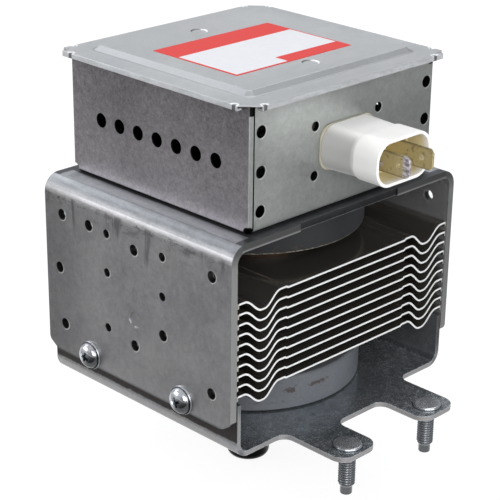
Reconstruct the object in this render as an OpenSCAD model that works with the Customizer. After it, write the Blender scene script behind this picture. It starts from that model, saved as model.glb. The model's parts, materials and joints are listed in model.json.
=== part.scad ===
// Cooker magnetron: a vacuum tube in a magnet yoke, with cooling fins and a filter box.
// Millimetres, +Z up. The origin is on the antenna's axis, at the underside of the lower
// yoke, which is the face that meets the waveguide. -Y is the side with the terminals.

/* [Yoke] */
// Width over the two side plates
yoke_w = 95; // [90:1:120]
// Depth of the yoke
yoke_d = 80; // [76:1:100]
// Thickness of the upper yoke's steel sheet
yoke_sheet = 2.3; // [1.6:0.1:3]
// Thickness of the lower yoke's steel sheet
lower_sheet = 1.6; // [1.2:0.1:3]
// Inside radius of the yoke's bends
yoke_bend = 3; // [1:0.5:5]
// Gap between the upper yoke's plates and the lower yoke's flanges
yoke_gap = 0.2; // [0.05:0.05:0.4]
// Height of the side plates' lower edge above the underside
plate_foot = 9.3; // [8:0.1:11]
// Height of the lower yoke's flanges above the underside
flange_h = 17.1; // [16.5:0.1:21]
// Cut at the side plates' lower corners, along the edge
corner_cut_y = 3.8; // [1:0.2:6]
// Cut at the side plates' lower corners, upwards
corner_cut_z = 2.5; // [1:0.2:4]
// Length of the shallow recess in the top plate's front and back edges
recess_w = 41.6; // [20:0.2:60]
// Depth of that recess
recess_depth = 0.8; // [0.2:0.1:2]

/* [Side plate holes] */
// Diameter of the larger holes
hole_d = 3.4; // [2:0.2:5]
// Diameter of the small holes
small_hole_d = 2.7; // [1.5:0.1:4]
// Diameter of the staked mark in the middle of each side plate
stake_d = 5; // [3:0.5:8]
// Height of the staked mark above the plate's lower edge
stake_z = 21.8; // [16:0.2:30]
// Depth of the staked mark
stake_depth = 0.5; // [0.2:0.1:1]

/* [Mounting ears and studs] */
// Spacing of the studs across the yoke
stud_pitch_x = 35.5; // [30:0.5:44]
// Spacing of the studs from front to back
stud_pitch_y = 115.5; // [112:0.5:130]
// Width of a mounting ear
ear_w = 15.4; // [12:0.2:20]
// Length of an ear beyond its stud
ear_end = 5.4; // [5:0.2:10]
// Radius of an ear's outer corners
ear_corner = 4.5; // [1:0.5:7]
// Radius of the fillets at the ears' roots
ear_root = 3.5; // [1:0.5:5]
// How far the plate stands out between two ears
ear_bridge = 6; // [2:0.5:10]
// Thread diameter of a stud
stud_d = 5; // [4:0.5:6]
// Length of a stud below the underside
stud_len = 13.9; // [8:0.1:20]
// Diameter of a stud's knurled shank, pressed into the ear
stud_shank_d = 5.8; // [5.4:0.1:6.6]
// Diameter of a stud's head
stud_head_d = 8.4; // [7:0.1:9.6]
// Height of a stud's head
stud_head_h = 0.8; // [0.6:0.1:2]
// Diameter of a stud's pilot point
stud_point_d = 3.6; // [2.5:0.1:4]
// Length of a stud's pilot point
stud_point_len = 2.8; // [1:0.1:5]

/* [Yoke screws] */
// Thread diameter of a yoke screw
screw_d = 4; // [3:0.5:5]
// Diameter of a yoke screw's head
screw_head_d = 8.8; // [7:0.2:10]
// Height of a yoke screw's head
screw_head_h = 2.9; // [1.5:0.1:4]
// Length of a yoke screw beyond the flange
screw_tip = 2; // [0.5:0.5:4]
// Spacing of the two screws on one side
screw_pitch = 40.4; // [30:0.2:50]
// Height of the screws above the underside
screw_z = 12.7; // [12:0.1:13.6]
// Width of the cross recess's slots
recess_slot_w = 1; // [0.6:0.1:1.6]
// Length of the cross recess's slots
recess_slot_len = 4.4; // [3:0.2:6]

/* [Magnets] */
// Diameter of a ring magnet
magnet_d = 68.6; // [56:0.2:74]
// Height of a ring magnet
magnet_h = 11; // [8:0.5:16]
// Chamfer on a magnet's edges
magnet_chamfer = 0.6; // [0.2:0.1:1.5]

/* [Anode] */
// Outside diameter of the anode cylinder
anode_d = 39; // [34:0.5:44]
// Wall of the anode cylinder
anode_wall = 2; // [1.5:0.1:3]
// Height of the anode cylinder
anode_h = 37; // [35:0.5:44]
// Number of anode vanes
vane_count = 10; // [8:2:12]
// Thickness of a vane
vane_t = 1.9; // [1.2:0.1:2.2]
// Height of a vane
vane_h = 10; // [8:0.5:12]
// Radius of the space inside the vanes
vane_bore_r = 4.5; // [4.2:0.1:5.5]
// Radius of the inner strap ring
strap_r = 6.5; // [6:0.1:7.4]
// Radial spacing of the two strap rings on one side
strap_step = 2; // [1.6:0.1:2.6]
// Width of a strap ring
strap_w = 0.9; // [0.6:0.1:1.2]
// Height of a strap ring
strap_h = 1.2; // [0.8:0.1:1.6]
// Thickness of a pole piece
pole_t = 1.6; // [1:0.1:2.2]
// Depth of a pole piece's funnel
pole_depth = 10; // [6:0.5:11]
// Radius of the hole in a pole piece
pole_bore_r = 4.8; // [4.4:0.1:6]

/* [Cathode and stem] */
// Outside radius of the filament's turns
filament_r = 2; // [1.4:0.1:2.6]
// Diameter of the filament's wire
filament_wire = 0.5; // [0.3:0.05:0.8]
// Thickness of an end hat
hat_t = 1.5; // [0.8:0.1:1.8]
// Diameter of the cathode's lead rods
lead_d = 1.6; // [1:0.1:1.8]
// Distance of each lead rod from the axis in the stem
lead_offset = 2.6; // [2.5:0.1:2.8]
// Bend radius of the lead rods
lead_bend = 1.2; // [0.9:0.1:1.2]
// Outside radius of the metal sleeves that pass through the magnets
sleeve_r = 9.6; // [8.5:0.1:11]
// Wall of the metal sleeves
sleeve_wall = 0.8; // [0.5:0.1:1.2]
// Thickness of the sleeves' flanges on the anode
sleeve_flange_t = 1.2; // [0.8:0.1:2]
// Clearance around a sleeve
sleeve_gap = 0.3; // [0.1:0.05:0.6]
// Depth of the stem's top below the terminals' middle
stem_drop = 4.7; // [3:0.1:6]
// How far the upper sleeve rises above the filter box's floor
stem_rise = 4; // [2:0.5:6]

/* [Antenna] */
// Depth of the antenna's tip below the underside
antenna_len = 31; // [26:0.5:36]
// Diameter of the antenna cap
cap_d = 13.6; // [12:0.2:16]
// Wall of the antenna cap
cap_wall = 0.5; // [0.3:0.1:1]
// Length of the antenna cap
cap_len = 13; // [11:0.5:16]
// Outside diameter of the antenna's ceramic
antenna_ceramic_d = 15; // [13:0.2:17]
// Wall of the antenna's ceramic
antenna_ceramic_wall = 2.2; // [1.5:0.1:3]
// Length of the antenna's ceramic
antenna_ceramic_len = 10; // [6:0.5:12]
// Diameter of the antenna lead
antenna_lead_d = 2.4; // [1.5:0.1:3]
// Bend radius of the antenna lead
antenna_bend = 3; // [1.6:0.1:4]
// Distance of the antenna lead from the axis where it leaves its vane
antenna_lead_offset = 10.6; // [10.6:0.1:12]
// Outside diameter of the exhaust tube
exhaust_d = 5; // [4.6:0.1:6]
// Outside diameter of the wire mesh gasket
gasket_d = 33; // [28:0.5:40]
// Thickness of the wire mesh gasket
gasket_h = 4; // [2:0.5:6]

/* [Cooling fins] */
// Number of fins
fin_count = 10; // [6:1:10]
// Spacing of the fins
fin_pitch = 3.14; // [2.9:0.02:3.3]
// Thickness of a fin
fin_t = 0.6; // [0.4:0.05:0.7]
// Height of the fin stack's middle above the anode's middle
fin_lift = 1.1; // [0:0.1:1.5]
// Gap between the fins and what they fit
fin_gap = 0.1; // [0.05:0.05:0.3]
// Depth of the dip near each end of a fin
fin_dip = 3.6; // [2.6:0.1:4.6]
// Length of the slope from a fin's middle into the dip
fin_fall_w = 6.2; // [5:0.1:7]
// Length of the dip's flat bottom
fin_flat_w = 1; // [0.5:0.1:2]
// Length of the slope from the dip to the fin's end
fin_rise_w = 6.8; // [6:0.1:8]
// Height of the raised bead beside the dip
fin_bead = 0.4; // [0.2:0.05:0.6]
// Width of that bead
fin_bead_w = 3.2; // [2:0.1:4]
// Width of the bead's inner slope
fin_bead_slope = 0.8; // [0.6:0.1:1.2]
// Rise of a fin's end over its middle
fin_end_rise = 0.55; // [0.2:0.05:0.9]
// Length of a fin's raised end
fin_end_w = 2.8; // [2:0.1:4]
// Length of the lip bent down at a fin's end
fin_lip = 1.3; // [0.8:0.1:2.2]
// Height of the collar round a fin's bore
fin_collar = 2; // [1:0.1:2.1]

/* [Filter box] */
// Width of the filter box
box_w = 76.5; // [72:0.5:84]
// Depth of the filter box
box_d = 73.5; // [70:0.5:76]
// Height of the filter box
box_h = 37; // [34:0.5:44]
// Thickness of the box's sheet
box_sheet = 0.7; // [0.5:0.05:1]
// Inside radius of the box's bends
box_bend = 0.8; // [0.4:0.1:1.5]
// Width of the seams at the box's upright corners
seam_w = 0.5; // [0.2:0.1:0.8]
// Width of the left wall's flanges, which lie in the front and back walls
seam_flange_w = 1.9; // [1.6:0.1:2.2]
// Height of the notch above each flange
seam_notch_h = 3.1; // [2:0.1:5]
// Diameter of the relief hole at the foot of each seam
seam_relief_d = 2.6; // [2:0.1:3.2]
// Height of the terminals above the box's underside
port_z = 18.5; // [17:0.1:20]
// Place of the terminals across the front wall
port_x = 0.8; // [-2:0.1:2]
// Height of the vent holes above the box's underside
vent_z = 18.7; // [17:0.1:20]
// Number of vent holes in each side wall
vent_count = 7; // [3:2:7]
// Spacing of the vent holes
vent_pitch = 8; // [7:0.5:9]
// Diameter of a vent hole
vent_d = 4.4; // [3:0.2:5.4]
// Number of holes in each column on the front wall
wall_hole_count = 3; // [1:2:3]
// Height of a column's middle above the box's underside
wall_hole_z = 17.6; // [17:0.1:20]
// Spacing of the holes in a column
wall_hole_pitch = 11.4; // [8:0.1:12]
// Diameter of these holes
wall_hole_d = 3.6; // [2.4:0.2:4.6]
// Distance of the outer columns of front wall holes from the box's sides
wall_hole_inset = 3.75; // [3.5:0.05:6]

/* [Filter lid] */
// How far the lid stands out past the box's walls
lid_overhang = 3; // [2.4:0.1:5]
// Thickness of the lid's sheet
lid_sheet = 0.5; // [0.4:0.05:0.8]
// Width of the lip folded under the box's rim
hem_w = 2; // [1:0.1:2.2]
// Cut across the lid's corners
lid_corner = 5; // [4:0.2:8]
// How far the fold's ends stand past the cut at the lid's two side corners
hem_past = 2.5; // [0.4:0.1:2.8]
// Distance of the raised panel from the lid's edges
panel_inset = 6.8; // [5:0.2:10]
// Height of the raised panel
panel_rise = 1.4; // [0.8:0.1:2.5]
// Width of the raised panel's sloping edge
panel_bevel = 1.8; // [1:0.1:3]
// Corner radius of the raised panel
panel_corner = 2.8; // [2.6:0.2:8]
// Diameter of the two shallow marks in the panel
mark_d = 5; // [3:0.5:7]
// Depth of the marks
mark_depth = 0.25; // [0.1:0.05:0.35]
// Spacing of the marks
mark_pitch = 45.9; // [42:0.1:50]
// Place of the marks across the panel
mark_x = -0.4; // [-6:0.1:6]
// Place of the marks' middle along the panel
mark_y = -0.3; // [-1:0.1:1]
// Width of the rating label
label_w = 47; // [30:0.5:56]
// Depth of the rating label
label_d = 34.3; // [20:0.1:34.4]
// Place of the label's middle across the panel
label_x = -2; // [-4:0.1:4]
// Place of the label's middle along the panel
label_y = -1.8; // [-2:0.1:2]
// Thickness of the label
label_t = 0.15; // [0.1:0.05:0.3]

/* [Terminals] */
// Length of the terminal housing in front of the box
housing_len = 21.3; // [18:0.1:26]
// Length of the wider shroud at the housing's front
shroud_len = 8.8; // [6:0.1:12]
// Width of the shroud
shroud_w = 23; // [22:0.2:26]
// Height of the shroud
shroud_h = 13.6; // [12.6:0.2:16]
// How much narrower the housing is behind the shroud, on each side
housing_step = 0.5; // [0.3:0.1:1.2]
// Corner radius of the shroud
shroud_corner = 5.8; // [4:0.1:6]
// Wall of the shroud
shroud_wall = 1; // [0.8:0.1:1.6]
// Thickness of the floor between the shroud's cavity and the capacitor
housing_floor = 2; // [1:0.1:3]
// How far the seal ring stands out round the housing
seal_out = 0.5; // [0.3:0.1:1.2]
// Corner radius of the seal ring
seal_corner = 4.4; // [4:0.1:5.8]
// Thickness of the seal ring
seal_t = 0.6; // [0.4:0.1:1.2]
// Spacing of the terminal blades
blade_pitch = 9.9; // [9:0.1:10.6]
// Width of a terminal blade
blade_w = 6.3; // [4.8:0.1:6.8]
// Thickness of a terminal blade
blade_t = 0.8; // [0.5:0.1:1]
// Length of a blade in front of the shroud's rim
blade_out = 6.2; // [4:0.1:9]
// Diameter of the hole in a blade
blade_hole_d = 1.7; // [1:0.1:2.4]
// Distance of that hole from the blade's tip
blade_hole_tip = 3.9; // [3:0.1:5.5]
// Chamfer at the blade's tip
blade_chamfer = 1.1; // [0.5:0.1:1.6]
// Width of a terminal's tail in the box
tail_w = 4; // [3:0.2:4.6]
// Clearance around the terminals
terminal_gap = 0.1; // [0.05:0.05:0.3]
// Width of the capacitor's ceramic
capacitor_w = 18; // [16:0.2:19]
// Height of the capacitor's ceramic
capacitor_h = 9; // [8:0.2:9.6]
// Corner radius of the capacitor's ceramic
capacitor_corner = 4; // [2:0.1:4]
// Length of the capacitor's ceramic on each side of the front wall
capacitor_reach = 9; // [6:0.5:9.5]
// Width of the ground plate
ground_w = 33; // [30:0.5:36]
// Height of the ground plate
ground_h = 20; // [18:0.5:24]
// Spacing across of the holes that fix the ground plate
ground_hole_x = 26.4; // [25.4:0.2:28]
// Upright spacing of the holes that fix the ground plate
ground_hole_z = 14.5; // [13:0.1:16]
// Diameter of the holes that fix the ground plate
ground_hole_d = 2.9; // [2:0.1:3.4]

/* [Chokes] */
// Distance of each choke's axis from the middle
choke_x = 20; // [16:0.5:24]
// Number of turns of a choke
choke_turns = 10; // [6:1:10]
// Diameter of the choke's wire
choke_wire = 1.4; // [1:0.1:1.4]
// Thickness of the enamel, which the wire's straight ends lack
enamel_t = 0.05; // [0.02:0.01:0.1]
// Bend radius of the choke's straight ends
choke_bend = 2; // [1.2:0.1:3]
// Radius of the middle of the choke's wire
choke_r = 4; // [3.4:0.1:5]
// Clearance round a choke's core
core_gap = 0.2; // [0.1:0.05:0.3]
// How far a core stands out at each end of its coil
core_out = 2; // [0.5:0.5:3]

/* [Hidden] */
$fn = 64;
// Overlap that keeps a cut clear of the face it starts from
cut = 1;

// Places of the larger holes on a side plate, from its middle and above its lower edge
hole_places = [[-32.2, 45.5], [32.2, 45.5], [19.9, 45.5], [0, 43.7], [34, 28],
    [-12.2, 20.9], [0, 13.5], [-32.2, 9.8], [32.2, 9.8]];
// Places of the small holes on a side plate
small_hole_places = [[-12, 45.2], [12, 45.2], [-12, 33], [12, 33], [12, 15.3]];

// Heights of the stack, from the underside upwards
lower_magnet_z = lower_sheet;
lower_flange_z = lower_magnet_z + magnet_h;
anode_z = lower_flange_z + sleeve_flange_t;
anode_top = anode_z + anode_h;
anode_mid = anode_z + anode_h / 2;
upper_magnet_z = anode_top + sleeve_flange_t;
yoke_h = upper_magnet_z + magnet_h + yoke_sheet;
box_top = yoke_h + box_h;
port_height = yoke_h + port_z;

// Widths inside the yoke
plate_inner_x = yoke_w / 2 - yoke_sheet;
channel_w = 2 * (plate_inner_x - yoke_gap);
fin_half_w = plate_inner_x - fin_gap;
fin_dip_end = fin_half_w - fin_end_w;
fin_rise_start = fin_dip_end - fin_rise_w;
fin_dip_start = fin_rise_start - fin_flat_w - fin_fall_w;
fin_bead_start = fin_dip_start - fin_bead_w;
anode_r = anode_d / 2;
anode_bore_r = anode_r - anode_wall;
sleeve_hole_r = sleeve_r + sleeve_gap;

// Cathode, stem and antenna
hat_r = lead_offset + lead_d / 2;
hat_foot_z = anode_mid - vane_h / 2;
hat_top_z = anode_mid + vane_h / 2;
filament_h = vane_h - 2 * hat_t;
stem_z = yoke_h + stem_rise;
stem_top = port_height - stem_drop;
stem_h = stem_top - stem_z;
antenna_shelf_z = -antenna_len + cap_len + antenna_ceramic_len;
ceramic_foot_z = antenna_shelf_z - antenna_ceramic_len;
cap_bore_r = cap_d / 2 - cap_wall;
antenna_route = [
    [antenna_lead_offset, anode_mid - vane_h / 2], [antenna_lead_offset, anode_z + pole_depth / 2],
    [0, anode_z + pole_depth / 2], [0, ceramic_foot_z]];

// Lines of the front wall and the terminals
wall_y = -box_d / 2;
wall_inner_y = wall_y + box_sheet;
ground_y = wall_inner_y + box_sheet;
rim_y = wall_y - housing_len;
tip_y = rim_y - blade_out;
capacitor_front_y = wall_y - capacitor_reach;
capacitor_back_y = ground_y + capacitor_reach;
case_wall = shroud_wall;
case_back_y = capacitor_back_y + case_wall;
tail_y = case_back_y + tail_w;
blade_x = blade_pitch / 2;

// Chokes
choke_len = choke_turns * choke_wire;
choke_front_y = tail_y - tail_w / 2;
choke_mid_y = choke_front_y / 2;
stem_face_x = sleeve_r - lead_offset / 2;
tail_face_x = blade_x + blade_t / 2;

// Lid
lid_w = box_w + 2 * lid_overhang;
lid_d = box_d + 2 * lid_overhang;
lid_top = box_top + lid_sheet;
panel_w = lid_w - 2 * panel_inset;
panel_d = lid_d - 2 * panel_inset;
panel_top = lid_top + panel_rise;

// Rounded shapes shared by the pieces

// Outline of a bent web: its flat side lies on y = 0 and its legs point to +y
module web_outline(width, height, radius) {
    translate([-width / 2, radius]) square([width, height - radius]);
    translate([radius - width / 2, 0]) square([width - 2 * radius, height]);
    for (side = [-1, 1]) translate([side * (width / 2 - radius), radius]) circle(radius);
}

// Cross-section of a sheet bent to a channel
module channel_outline(width, height, sheet, bend) {
    difference() {
        web_outline(width, height, bend + sheet);
        translate([0, sheet]) web_outline(width - 2 * sheet, height, bend);
    }
}

// Rectangle with round corners
module rounded_outline(width, height, radius) {
    square([width, height - 2 * radius], center = true);
    square([width - 2 * radius, height], center = true);
    for (x = [-1, 1], y = [-1, 1])
        translate([x * (width / 2 - radius), y * (height / 2 - radius)]) circle(radius);
}

// Fillet for an inside corner at the origin, which opens to +x and +y
module inside_fillet(radius) {
    difference() {
        square(radius);
        translate([radius, radius]) circle(radius);
    }
}

// Stretch of an outline that lies in the XZ plane, from y1 to y2
module along_y(y1, y2) {
    translate([0, y2, 0]) rotate([90, 0, 0]) linear_extrude(y2 - y1) children();
}

// Open tray with rounded bottom edges
module tray(width, depth, height, radius) {
    intersection() {
        along_y(-depth / 2, depth / 2) web_outline(width, height, radius);
        rotate(90) along_y(-width / 2, width / 2) web_outline(depth, height, radius);
    }
}

// Bar along Y with sloping sides
module sloped_bar(width, length, height, slope) {
    along_y(-length / 2, length / 2)
        polygon([[-width / 2, 0], [width / 2, 0], [width / 2 - slope, height],
                 [slope - width / 2, height]]);
}

// Raised panel with sloping edges and round corners
module raised_panel(width, depth, height, slope, corner) {
    sloped_bar(width, depth - 2 * corner, height, slope);
    rotate(90) sloped_bar(depth, width - 2 * corner, height, slope);
    for (x = [-1, 1], y = [-1, 1])
        translate([x * (width / 2 - corner), y * (depth / 2 - corner), 0])
            cylinder(height, corner, corner - slope);
}

// Round wire in the XY plane through a list of points, with an arc at each corner
module wire(points, diameter, bend) {
    last = len(points) - 1;
    runs = [for (i = [1:last]) points[i] - points[i - 1]];
    headings = [for (run = runs) atan2(run.y, run.x)];
    turns = [for (i = [1:last - 1]) (headings[i] - headings[i - 1] + 540) % 360 - 180];
    trims = concat([0], [for (turn = turns) bend * tan(abs(turn) / 2)], [0]);
    for (i = [0:last - 1])
        translate(points[i]) rotate(headings[i]) translate([trims[i], 0]) rotate([0, 90, 0])
            cylinder(norm(runs[i]) - trims[i] - trims[i + 1], d = diameter);
    for (i = [1:last - 1]) translate(points[i]) rotate(headings[i - 1]) translate([-trims[i], 0])
        mirror([0, turns[i - 1] < 0 ? 1 : 0]) translate([0, bend]) rotate(-90)
            rotate_extrude(angle = abs(turns[i - 1])) translate([bend, 0]) circle(d = diameter);
}

// Ring with square edges from z1 to z2
module ring(inner, outer, z1, z2) {
    translate([0, 0, z1]) difference() {
        cylinder(z2 - z1, r = outer);
        translate([0, 0, -cut]) cylinder(z2 - z1 + 2 * cut, r = inner);
    }
}

// Hole along X through one side plate
module side_hole(side, y, z, diameter) {
    translate([side * yoke_w / 2, y, z]) rotate([0, 90, 0])
        cylinder(6 * yoke_sheet, d = diameter, center = true);
}

// Yoke

module upper_yoke() color("#8d8e90") {
    difference() {
        translate([0, 0, yoke_h]) mirror([0, 0, 1])
            along_y(-yoke_d / 2, yoke_d / 2)
                channel_outline(yoke_w, yoke_h - plate_foot, yoke_sheet, yoke_bend);
        translate([0, 0, yoke_h - yoke_sheet - cut]) cylinder(yoke_sheet + 2 * cut, r = sleeve_hole_r);
        for (side = [-1, 1]) {
            for (place = hole_places) side_hole(side, place.x, plate_foot + place.y, hole_d);
            for (place = small_hole_places) side_hole(side, place.x, plate_foot + place.y, small_hole_d);
            for (y = [-1, 1]) {
                side_hole(side, y * screw_pitch / 2, screw_z, screw_d + 2 * yoke_gap);
                translate([side * yoke_w / 2, y * yoke_d / 2, plate_foot]) plate_corner_cut(y);
            }
            translate([-recess_w / 2, side * yoke_d / 2 - recess_depth, yoke_h - yoke_sheet - cut])
                cube([recess_w, 2 * recess_depth, yoke_sheet + 2 * cut]);
            translate([side * (yoke_w / 2 - stake_depth), 0, plate_foot + stake_z])
                rotate([0, side * 90, 0]) cylinder(stake_depth + cut, d = stake_d);
        }
    }
}

// Wedge that takes a side plate's lower corner off
module plate_corner_cut(y) {
    rotate([90, 0, 90]) linear_extrude(4 * yoke_sheet, center = true)
        polygon([[cut * y, -cut], [-corner_cut_y * y, -cut], [-corner_cut_y * y, 0], [0, corner_cut_z],
                 [cut * y, corner_cut_z]]);
}

module lower_yoke() color("#7c8087") {
    difference() {
        union() {
            along_y(-yoke_d / 2, yoke_d / 2) channel_outline(channel_w, flange_h, lower_sheet, yoke_bend);
            linear_extrude(lower_sheet) for (end = [0, 1]) mirror([0, end]) ear_outline();
        }
        translate([0, 0, -cut]) cylinder(lower_sheet + 2 * cut, r = sleeve_hole_r);
        at_studs() translate([0, 0, -cut]) cylinder(lower_sheet + 2 * cut, d = stud_shank_d);
        for (side = [-1, 1], y = [-1, 1]) side_hole(side, y * screw_pitch / 2, screw_z, screw_d);
    }
}

// Outline of the two ears at the -Y end
module ear_outline() {
    edge_y = -yoke_d / 2;
    bridge_y = edge_y - ear_bridge;
    end_y = -stud_pitch_y / 2 - ear_end;
    outer_x = stud_pitch_x / 2 + ear_w / 2;
    inner_x = stud_pitch_x / 2 - ear_w / 2;
    translate([-outer_x, bridge_y]) square([2 * outer_x, ear_bridge + lower_sheet]);
    for (side = [-1, 1]) {
        translate([side * stud_pitch_x / 2 - ear_w / 2, end_y + ear_corner])
            square([ear_w, edge_y - end_y - ear_corner]);
        translate([side * stud_pitch_x / 2, end_y + ear_w / 2]) rounded_outline(ear_w, ear_w, ear_corner);
        translate([side * inner_x, bridge_y]) rotate(side > 0 ? 180 : 270) inside_fillet(ear_root);
        translate([side * outer_x, edge_y]) rotate(side > 0 ? 270 : 180) inside_fillet(ear_root);
    }
}

// Copies at the four studs
module at_studs() {
    for (x = [-1, 1], y = [-1, 1]) translate([x * stud_pitch_x / 2, y * stud_pitch_y / 2, 0]) children();
}

module mounting_studs() color("#b9bdc2") at_studs() {
    translate([0, 0, lower_sheet]) cylinder(stud_head_h, d = stud_head_d);
    cylinder(lower_sheet, d = stud_shank_d);
    translate([0, 0, stud_point_len - stud_len]) cylinder(stud_len - stud_point_len, d = stud_d);
    translate([0, 0, -stud_len]) cylinder(stud_point_len, d = stud_point_d);
}

// Pan head screw along -X, with its head's seat on x = 0
module pan_screw() {
    dome_r = (pow(screw_head_d / 2, 2) + pow(screw_head_h, 2)) / (2 * screw_head_h);
    reach = yoke_sheet + yoke_gap + lower_sheet + screw_tip;
    rotate([0, 90, 0]) {
        difference() {
            intersection() {
                cylinder(screw_head_h, d = screw_head_d);
                translate([0, 0, screw_head_h - dome_r]) sphere(dome_r);
            }
            for (turn = [0, 90]) rotate(turn) translate([0, 0, screw_head_h])
                cube([recess_slot_len, recess_slot_w, screw_head_h], center = true);
        }
        translate([0, 0, -reach]) cylinder(reach, d = screw_d);
    }
}

module yoke_screws() color("#d5d9de") {
    for (side = [-1, 1], y = [-1, 1])
        translate([side * yoke_w / 2, y * screw_pitch / 2, screw_z])
            rotate(side > 0 ? 0 : 180) pan_screw();
}

// Magnets and fins

module ring_magnet(z) {
    hole_r = sleeve_hole_r;
    outer_r = magnet_d / 2;
    c = magnet_chamfer;
    translate([0, 0, z]) rotate_extrude()
        polygon([[hole_r, 0], [outer_r - c, 0], [outer_r, c], [outer_r, magnet_h - c],
                 [outer_r - c, magnet_h], [hole_r, magnet_h]]);
}

module upper_magnet() color("#5d5e63") ring_magnet(upper_magnet_z);
module lower_magnet() color("#5d5e63") ring_magnet(lower_magnet_z);

// Smooth step from 0 to 1, and its slope
function smooth_step(u) = (1 - cos(180 * max(0, min(1, u)))) / 2;
function step_slope(u) = PI / 2 * sin(180 * max(0, min(1, u)));

// Height of a fin's middle surface at a distance from the axis
function fin_height(x) =
    fin_bead * smooth_step((x - fin_bead_start) / fin_bead_slope)
    - (fin_bead + fin_dip) * smooth_step((x - fin_dip_start) / fin_fall_w)
    + (fin_dip + fin_end_rise) * smooth_step((x - fin_rise_start) / fin_rise_w);

function fin_slope(x) =
    fin_bead * step_slope((x - fin_bead_start) / fin_bead_slope) / fin_bead_slope
    - (fin_bead + fin_dip) * step_slope((x - fin_dip_start) / fin_fall_w) / fin_fall_w
    + (fin_dip + fin_end_rise) * step_slope((x - fin_rise_start) / fin_rise_w) / fin_rise_w;

// Half the sheet's thickness, square to the middle surface
function fin_half_t(x) = let (s = fin_slope(x)) [-s, 1] * fin_t / 2 / norm([s, 1]);

// One half of a fin's cross-section
module fin_half_outline() {
    steps = 12;
    places = concat(
        [0],
        [for (i = [0:4]) fin_bead_start + fin_bead_slope * i / 4],
        [for (i = [0:steps]) fin_dip_start + fin_fall_w * i / steps],
        [for (i = [0:steps]) fin_rise_start + fin_rise_w * i / steps],
        [fin_half_w]);
    polygon(concat(
        [for (x = places) [x, fin_height(x)] + fin_half_t(x)],
        [for (i = [len(places) - 1:-1:0]) [places[i], fin_height(places[i])] - fin_half_t(places[i])]));
    translate([fin_half_w - fin_t, fin_end_rise - fin_lip]) square([fin_t, fin_lip + fin_t / 2]);
}

module fin(number) color("#e4e5e6") {
    bore_r = anode_r + fin_gap;
    z = anode_mid + fin_lift + (number - (fin_count + 1) / 2) * fin_pitch;
    translate([0, 0, z]) {
        difference() {
            along_y(-yoke_d / 2, yoke_d / 2) for (side = [0, 1]) mirror([side, 0]) fin_half_outline();
            translate([0, 0, -cut]) cylinder(2 * cut, r = bore_r);
        }
        ring(bore_r, bore_r + fin_t, -fin_t / 2, fin_collar);
    }
}

// Vacuum tube

module anode_cylinder() color("#a8653c") ring(anode_bore_r, anode_r, anode_z, anode_top);

module anode_vanes() color("#b8703f") {
    reach = anode_bore_r - vane_bore_r;
    groove_in = strap_r - strap_w;
    groove_w = strap_step + 2 * strap_w;
    intersection() {
        for (i = [0:vane_count - 1]) rotate(i * 360 / vane_count)
            translate([vane_bore_r, -vane_t / 2, anode_mid - vane_h / 2]) difference() {
                cube([reach + cut, vane_t, vane_h]);
                for (z = [-cut, vane_h - strap_h])
                    translate([groove_in - vane_bore_r, -cut, z])
                        cube([groove_w, vane_t + 2 * cut, strap_h + cut]);
            }
        translate([0, 0, anode_mid - vane_h]) cylinder(2 * vane_h, r = anode_bore_r);
    }
}

module strap_rings() color("#c88a55") {
    for (side = [0, 1], i = [0, 1]) translate([0, 0, anode_mid]) mirror([0, 0, side])
        ring(strap_r + i * strap_step - strap_w / 2, strap_r + i * strap_step + strap_w / 2,
             vane_h / 2 - strap_h, vane_h / 2);
}

// Funnel that closes the anode at z = 0 and reaches down into it
module pole_funnel() {
    neck_r = pole_bore_r + pole_t;
    shoulder_r = neck_r + pole_depth / 2;
    rotate_extrude() polygon([
        [anode_bore_r, 0], [anode_bore_r, -pole_t], [shoulder_r, -pole_t], [neck_r, -pole_depth],
        [pole_bore_r, -pole_depth], [pole_bore_r, pole_t - pole_depth], [shoulder_r - pole_t, 0]]);
}

module upper_pole_piece() color("#9a9ca0") translate([0, 0, anode_top]) pole_funnel();

module lower_pole_piece() color("#9a9ca0") difference() {
    translate([0, 0, anode_z]) mirror([0, 0, 1]) pole_funnel();
    rotate([90, 0, 0]) wire(antenna_route, antenna_lead_d + 2 * sleeve_gap, antenna_bend);
}

module input_sleeve() color("#b4b6b8") {
    ring(sleeve_r - sleeve_wall, anode_r, anode_top, upper_magnet_z);
    ring(sleeve_r - sleeve_wall, sleeve_r, anode_top, stem_z);
}

module output_sleeve() color("#b4b6b8") {
    ring(sleeve_r - sleeve_wall, anode_r, lower_flange_z, anode_z);
    ring(sleeve_r - sleeve_wall, sleeve_r, antenna_shelf_z, anode_z);
    ring(antenna_ceramic_d / 2 - antenna_ceramic_wall, sleeve_r,
         antenna_shelf_z, antenna_shelf_z + sleeve_wall);
}

module filament() color("#6b6f75") translate([0, 0, anode_mid]) {
    turns = floor(filament_h / filament_wire);
    pitch = filament_h / turns;
    rotate_extrude() translate([filament_r - filament_wire / 2, 0]) {
        square([filament_wire / 2, filament_h], center = true);
        for (i = [0:turns - 1]) translate([0, (i - (turns - 1) / 2) * pitch]) circle(d = pitch, $fn = 24);
    }
}

module upper_end_hat() color("#85898f")
    ring(lead_d / 2 + sleeve_gap, hat_r, hat_top_z - hat_t, hat_top_z);

module lower_end_hat() color("#85898f")
    ring(lead_d / 2, hat_r, hat_foot_z, hat_foot_z + hat_t);

module centre_lead() color("#7d8187") rotate([90, 0, 0])
    wire([[0, hat_foot_z], [0, upper_magnet_z], [-lead_offset, upper_magnet_z], [-lead_offset, stem_top]],
         lead_d, lead_bend);

module side_lead() color("#7d8187") translate([lead_offset, 0, hat_top_z])
    cylinder(stem_top - hat_top_z, d = lead_d);

module stem_ceramic() color("#efe9e2") difference() {
    translate([0, 0, stem_z]) cylinder(stem_h, r = sleeve_r);
    for (side = [-1, 1]) translate([side * lead_offset, 0, stem_z - cut])
        cylinder(stem_h + 2 * cut, d = lead_d);
}

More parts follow.
